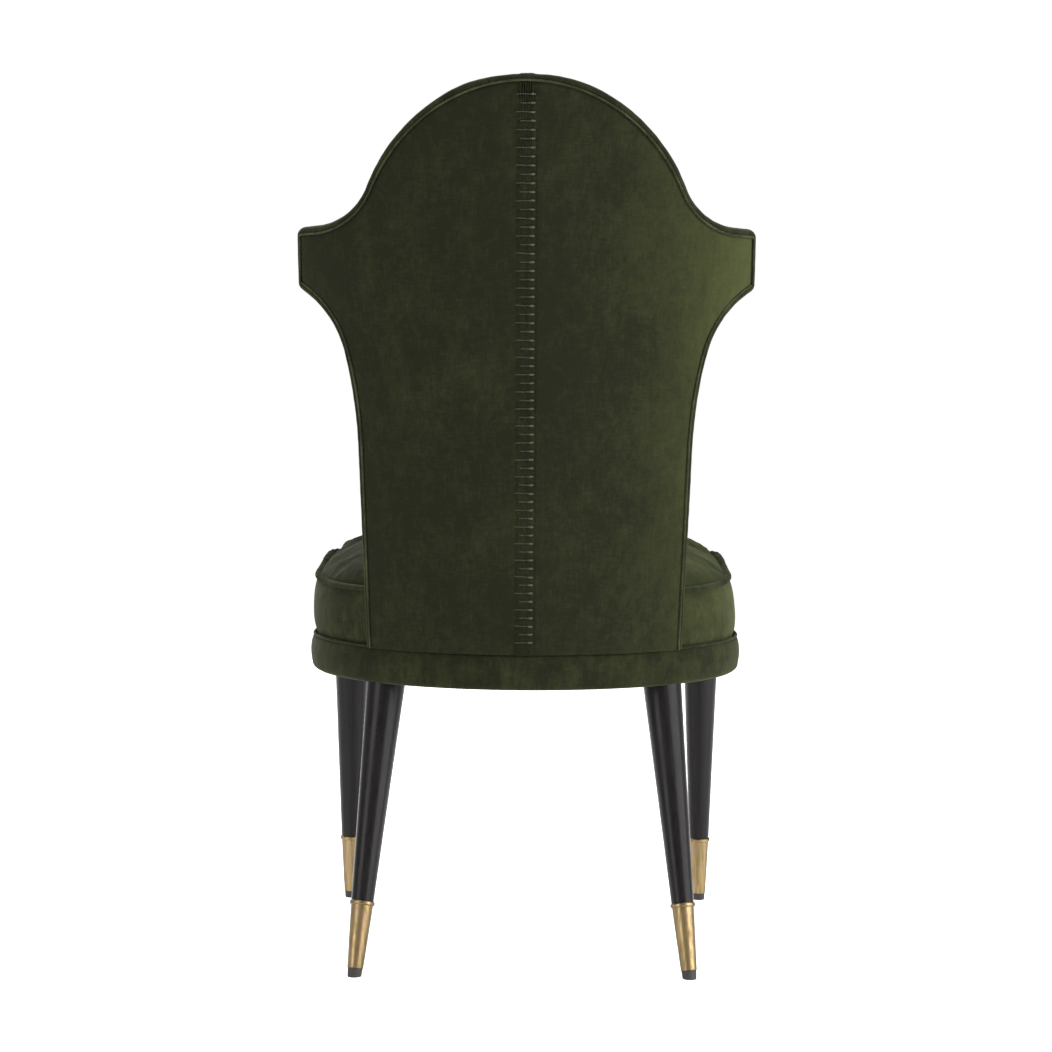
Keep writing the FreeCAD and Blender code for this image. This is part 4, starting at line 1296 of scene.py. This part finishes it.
# seen: extra brightness toward the camera
stageSizes = dict(floor=40.0, floorShade=(0.80, 0.80, 0.795), glow=0.50, seen=0.20)
floorMesh = bpy.data.meshes.new("floor")
half = stageSizes["floor"] / 2
floorCorners = [(-half, -half, 0), (half, -half, 0), (half, half, 0), (-half, half, 0)]
floorMesh.from_pydata(floorCorners, [], [(0, 1, 2, 3)])
floor = bpy.data.objects.new("floor", floorMesh)
bpy.context.scene.collection.objects.link(floor)
floorMaterial, tree, shader = newMaterial("paleFloor")
shader.inputs["Base Color"].default_value = (*stageSizes["floorShade"], 1)
shader.inputs["Roughness"].default_value = 0.9
shader.inputs["Specular IOR Level"].default_value = 0.1
shader.inputs["Emission Color"].default_value = (1, 1, 1, 1)
rays = tree.nodes.new("ShaderNodeLightPath")
brighter = tree.nodes.new("ShaderNodeMath")
brighter.operation = "MULTIPLY_ADD"
brighter.inputs[1].default_value = stageSizes["seen"]
brighter.inputs[2].default_value = stageSizes["glow"]
tree.links.new(rays.outputs["Is Camera Ray"], brighter.inputs[0])
tree.links.new(brighter.outputs[0], shader.inputs["Emission Strength"])
floorMesh.materials.append(floorMaterial)

# brightness of the backdrop, and of the room that lights the chair
studioLook = dict(backdrop=1.0, room=0.40)
world = bpy.data.worlds.new("studio")
bpy.context.scene.world = world
world.use_nodes = True
tree = world.node_tree
room = tree.nodes["Background"]
room.inputs["Color"].default_value = (1, 1, 1, 1)
room.inputs["Strength"].default_value = studioLook["room"]
backdrop = tree.nodes.new("ShaderNodeBackground")
backdrop.inputs["Color"].default_value = (1, 1, 1, 1)
backdrop.inputs["Strength"].default_value = studioLook["backdrop"]
rays = tree.nodes.new("ShaderNodeLightPath")
choose = tree.nodes.new("ShaderNodeMixShader")
tree.links.new(rays.outputs["Is Camera Ray"], choose.inputs[0])
tree.links.new(room.outputs[0], choose.inputs[1])
tree.links.new(backdrop.outputs[0], choose.inputs[2])
tree.links.new(choose.outputs[0], tree.nodes["World Output"].inputs["Surface"])


def softBox(name, place, target, width, height, power, tint=(1, 1, 1)):
    light = bpy.data.lights.new(name, "AREA")
    light.shape = "RECTANGLE"
    light.size = width
    light.size_y = height
    light.energy = power
    light.color = tint
    lamp = bpy.data.objects.new(name, light)
    lamp.location = place
    aim = Vector(target) - Vector(place)
    lamp.rotation_euler = aim.to_track_quat("-Z", "Y").to_euler()
    bpy.context.scene.collection.objects.link(lamp)
    return lamp


softBox("keyLight", (-2.35, 1.35, 1.2), (0, 0.1, 0.5), 2.9, 2.3, 100)
softBox("fillLight", (2.1, 1.9, 1.2), (0, 0.1, 0.5), 1.4, 2.2, 34)
softBox("topLight", (0, -1.1, 2.9), (0, 0.0, 0.5), 2.2, 2.2, 100)
softBox("frontLight", (1.3, -2.7, 2.0), (0, 0, 0.6), 1.8, 1.8, 70)

cameraSet = dict(
    distance=2.81207, side=-0.01992, height=0.68833, lens=80.48, yaw=-0.37, pitch=2.88, roll=0.34
)
cameraData = bpy.data.cameras.new("camera")
cameraData.lens = cameraSet["lens"]
cameraData.sensor_width = 36.0
cameraData.clip_end = 60
camera = bpy.data.objects.new("camera", cameraData)
bpy.context.scene.collection.objects.link(camera)
yaw, pitch, roll = (math.radians(cameraSet[k]) for k in ("yaw", "pitch", "roll"))
lookTo = Vector((-math.sin(yaw) * math.cos(pitch), -math.cos(yaw) * math.cos(pitch), -math.sin(pitch)))
right = Vector((-math.cos(yaw), math.sin(yaw), 0))
upward = right.cross(lookTo)
rightRolled = right * math.cos(roll) + upward * math.sin(roll)
upRolled = upward * math.cos(roll) - right * math.sin(roll)
turn = Matrix((rightRolled, upRolled, -lookTo)).transposed().to_4x4()
cameraPlace = (cameraSet["side"], rearY + cameraSet["distance"], cameraSet["height"])
camera.matrix_world = Matrix.Translation(cameraPlace) @ turn
bpy.context.scene.camera = camera
bpy.context.scene.view_settings.view_transform = "Standard"
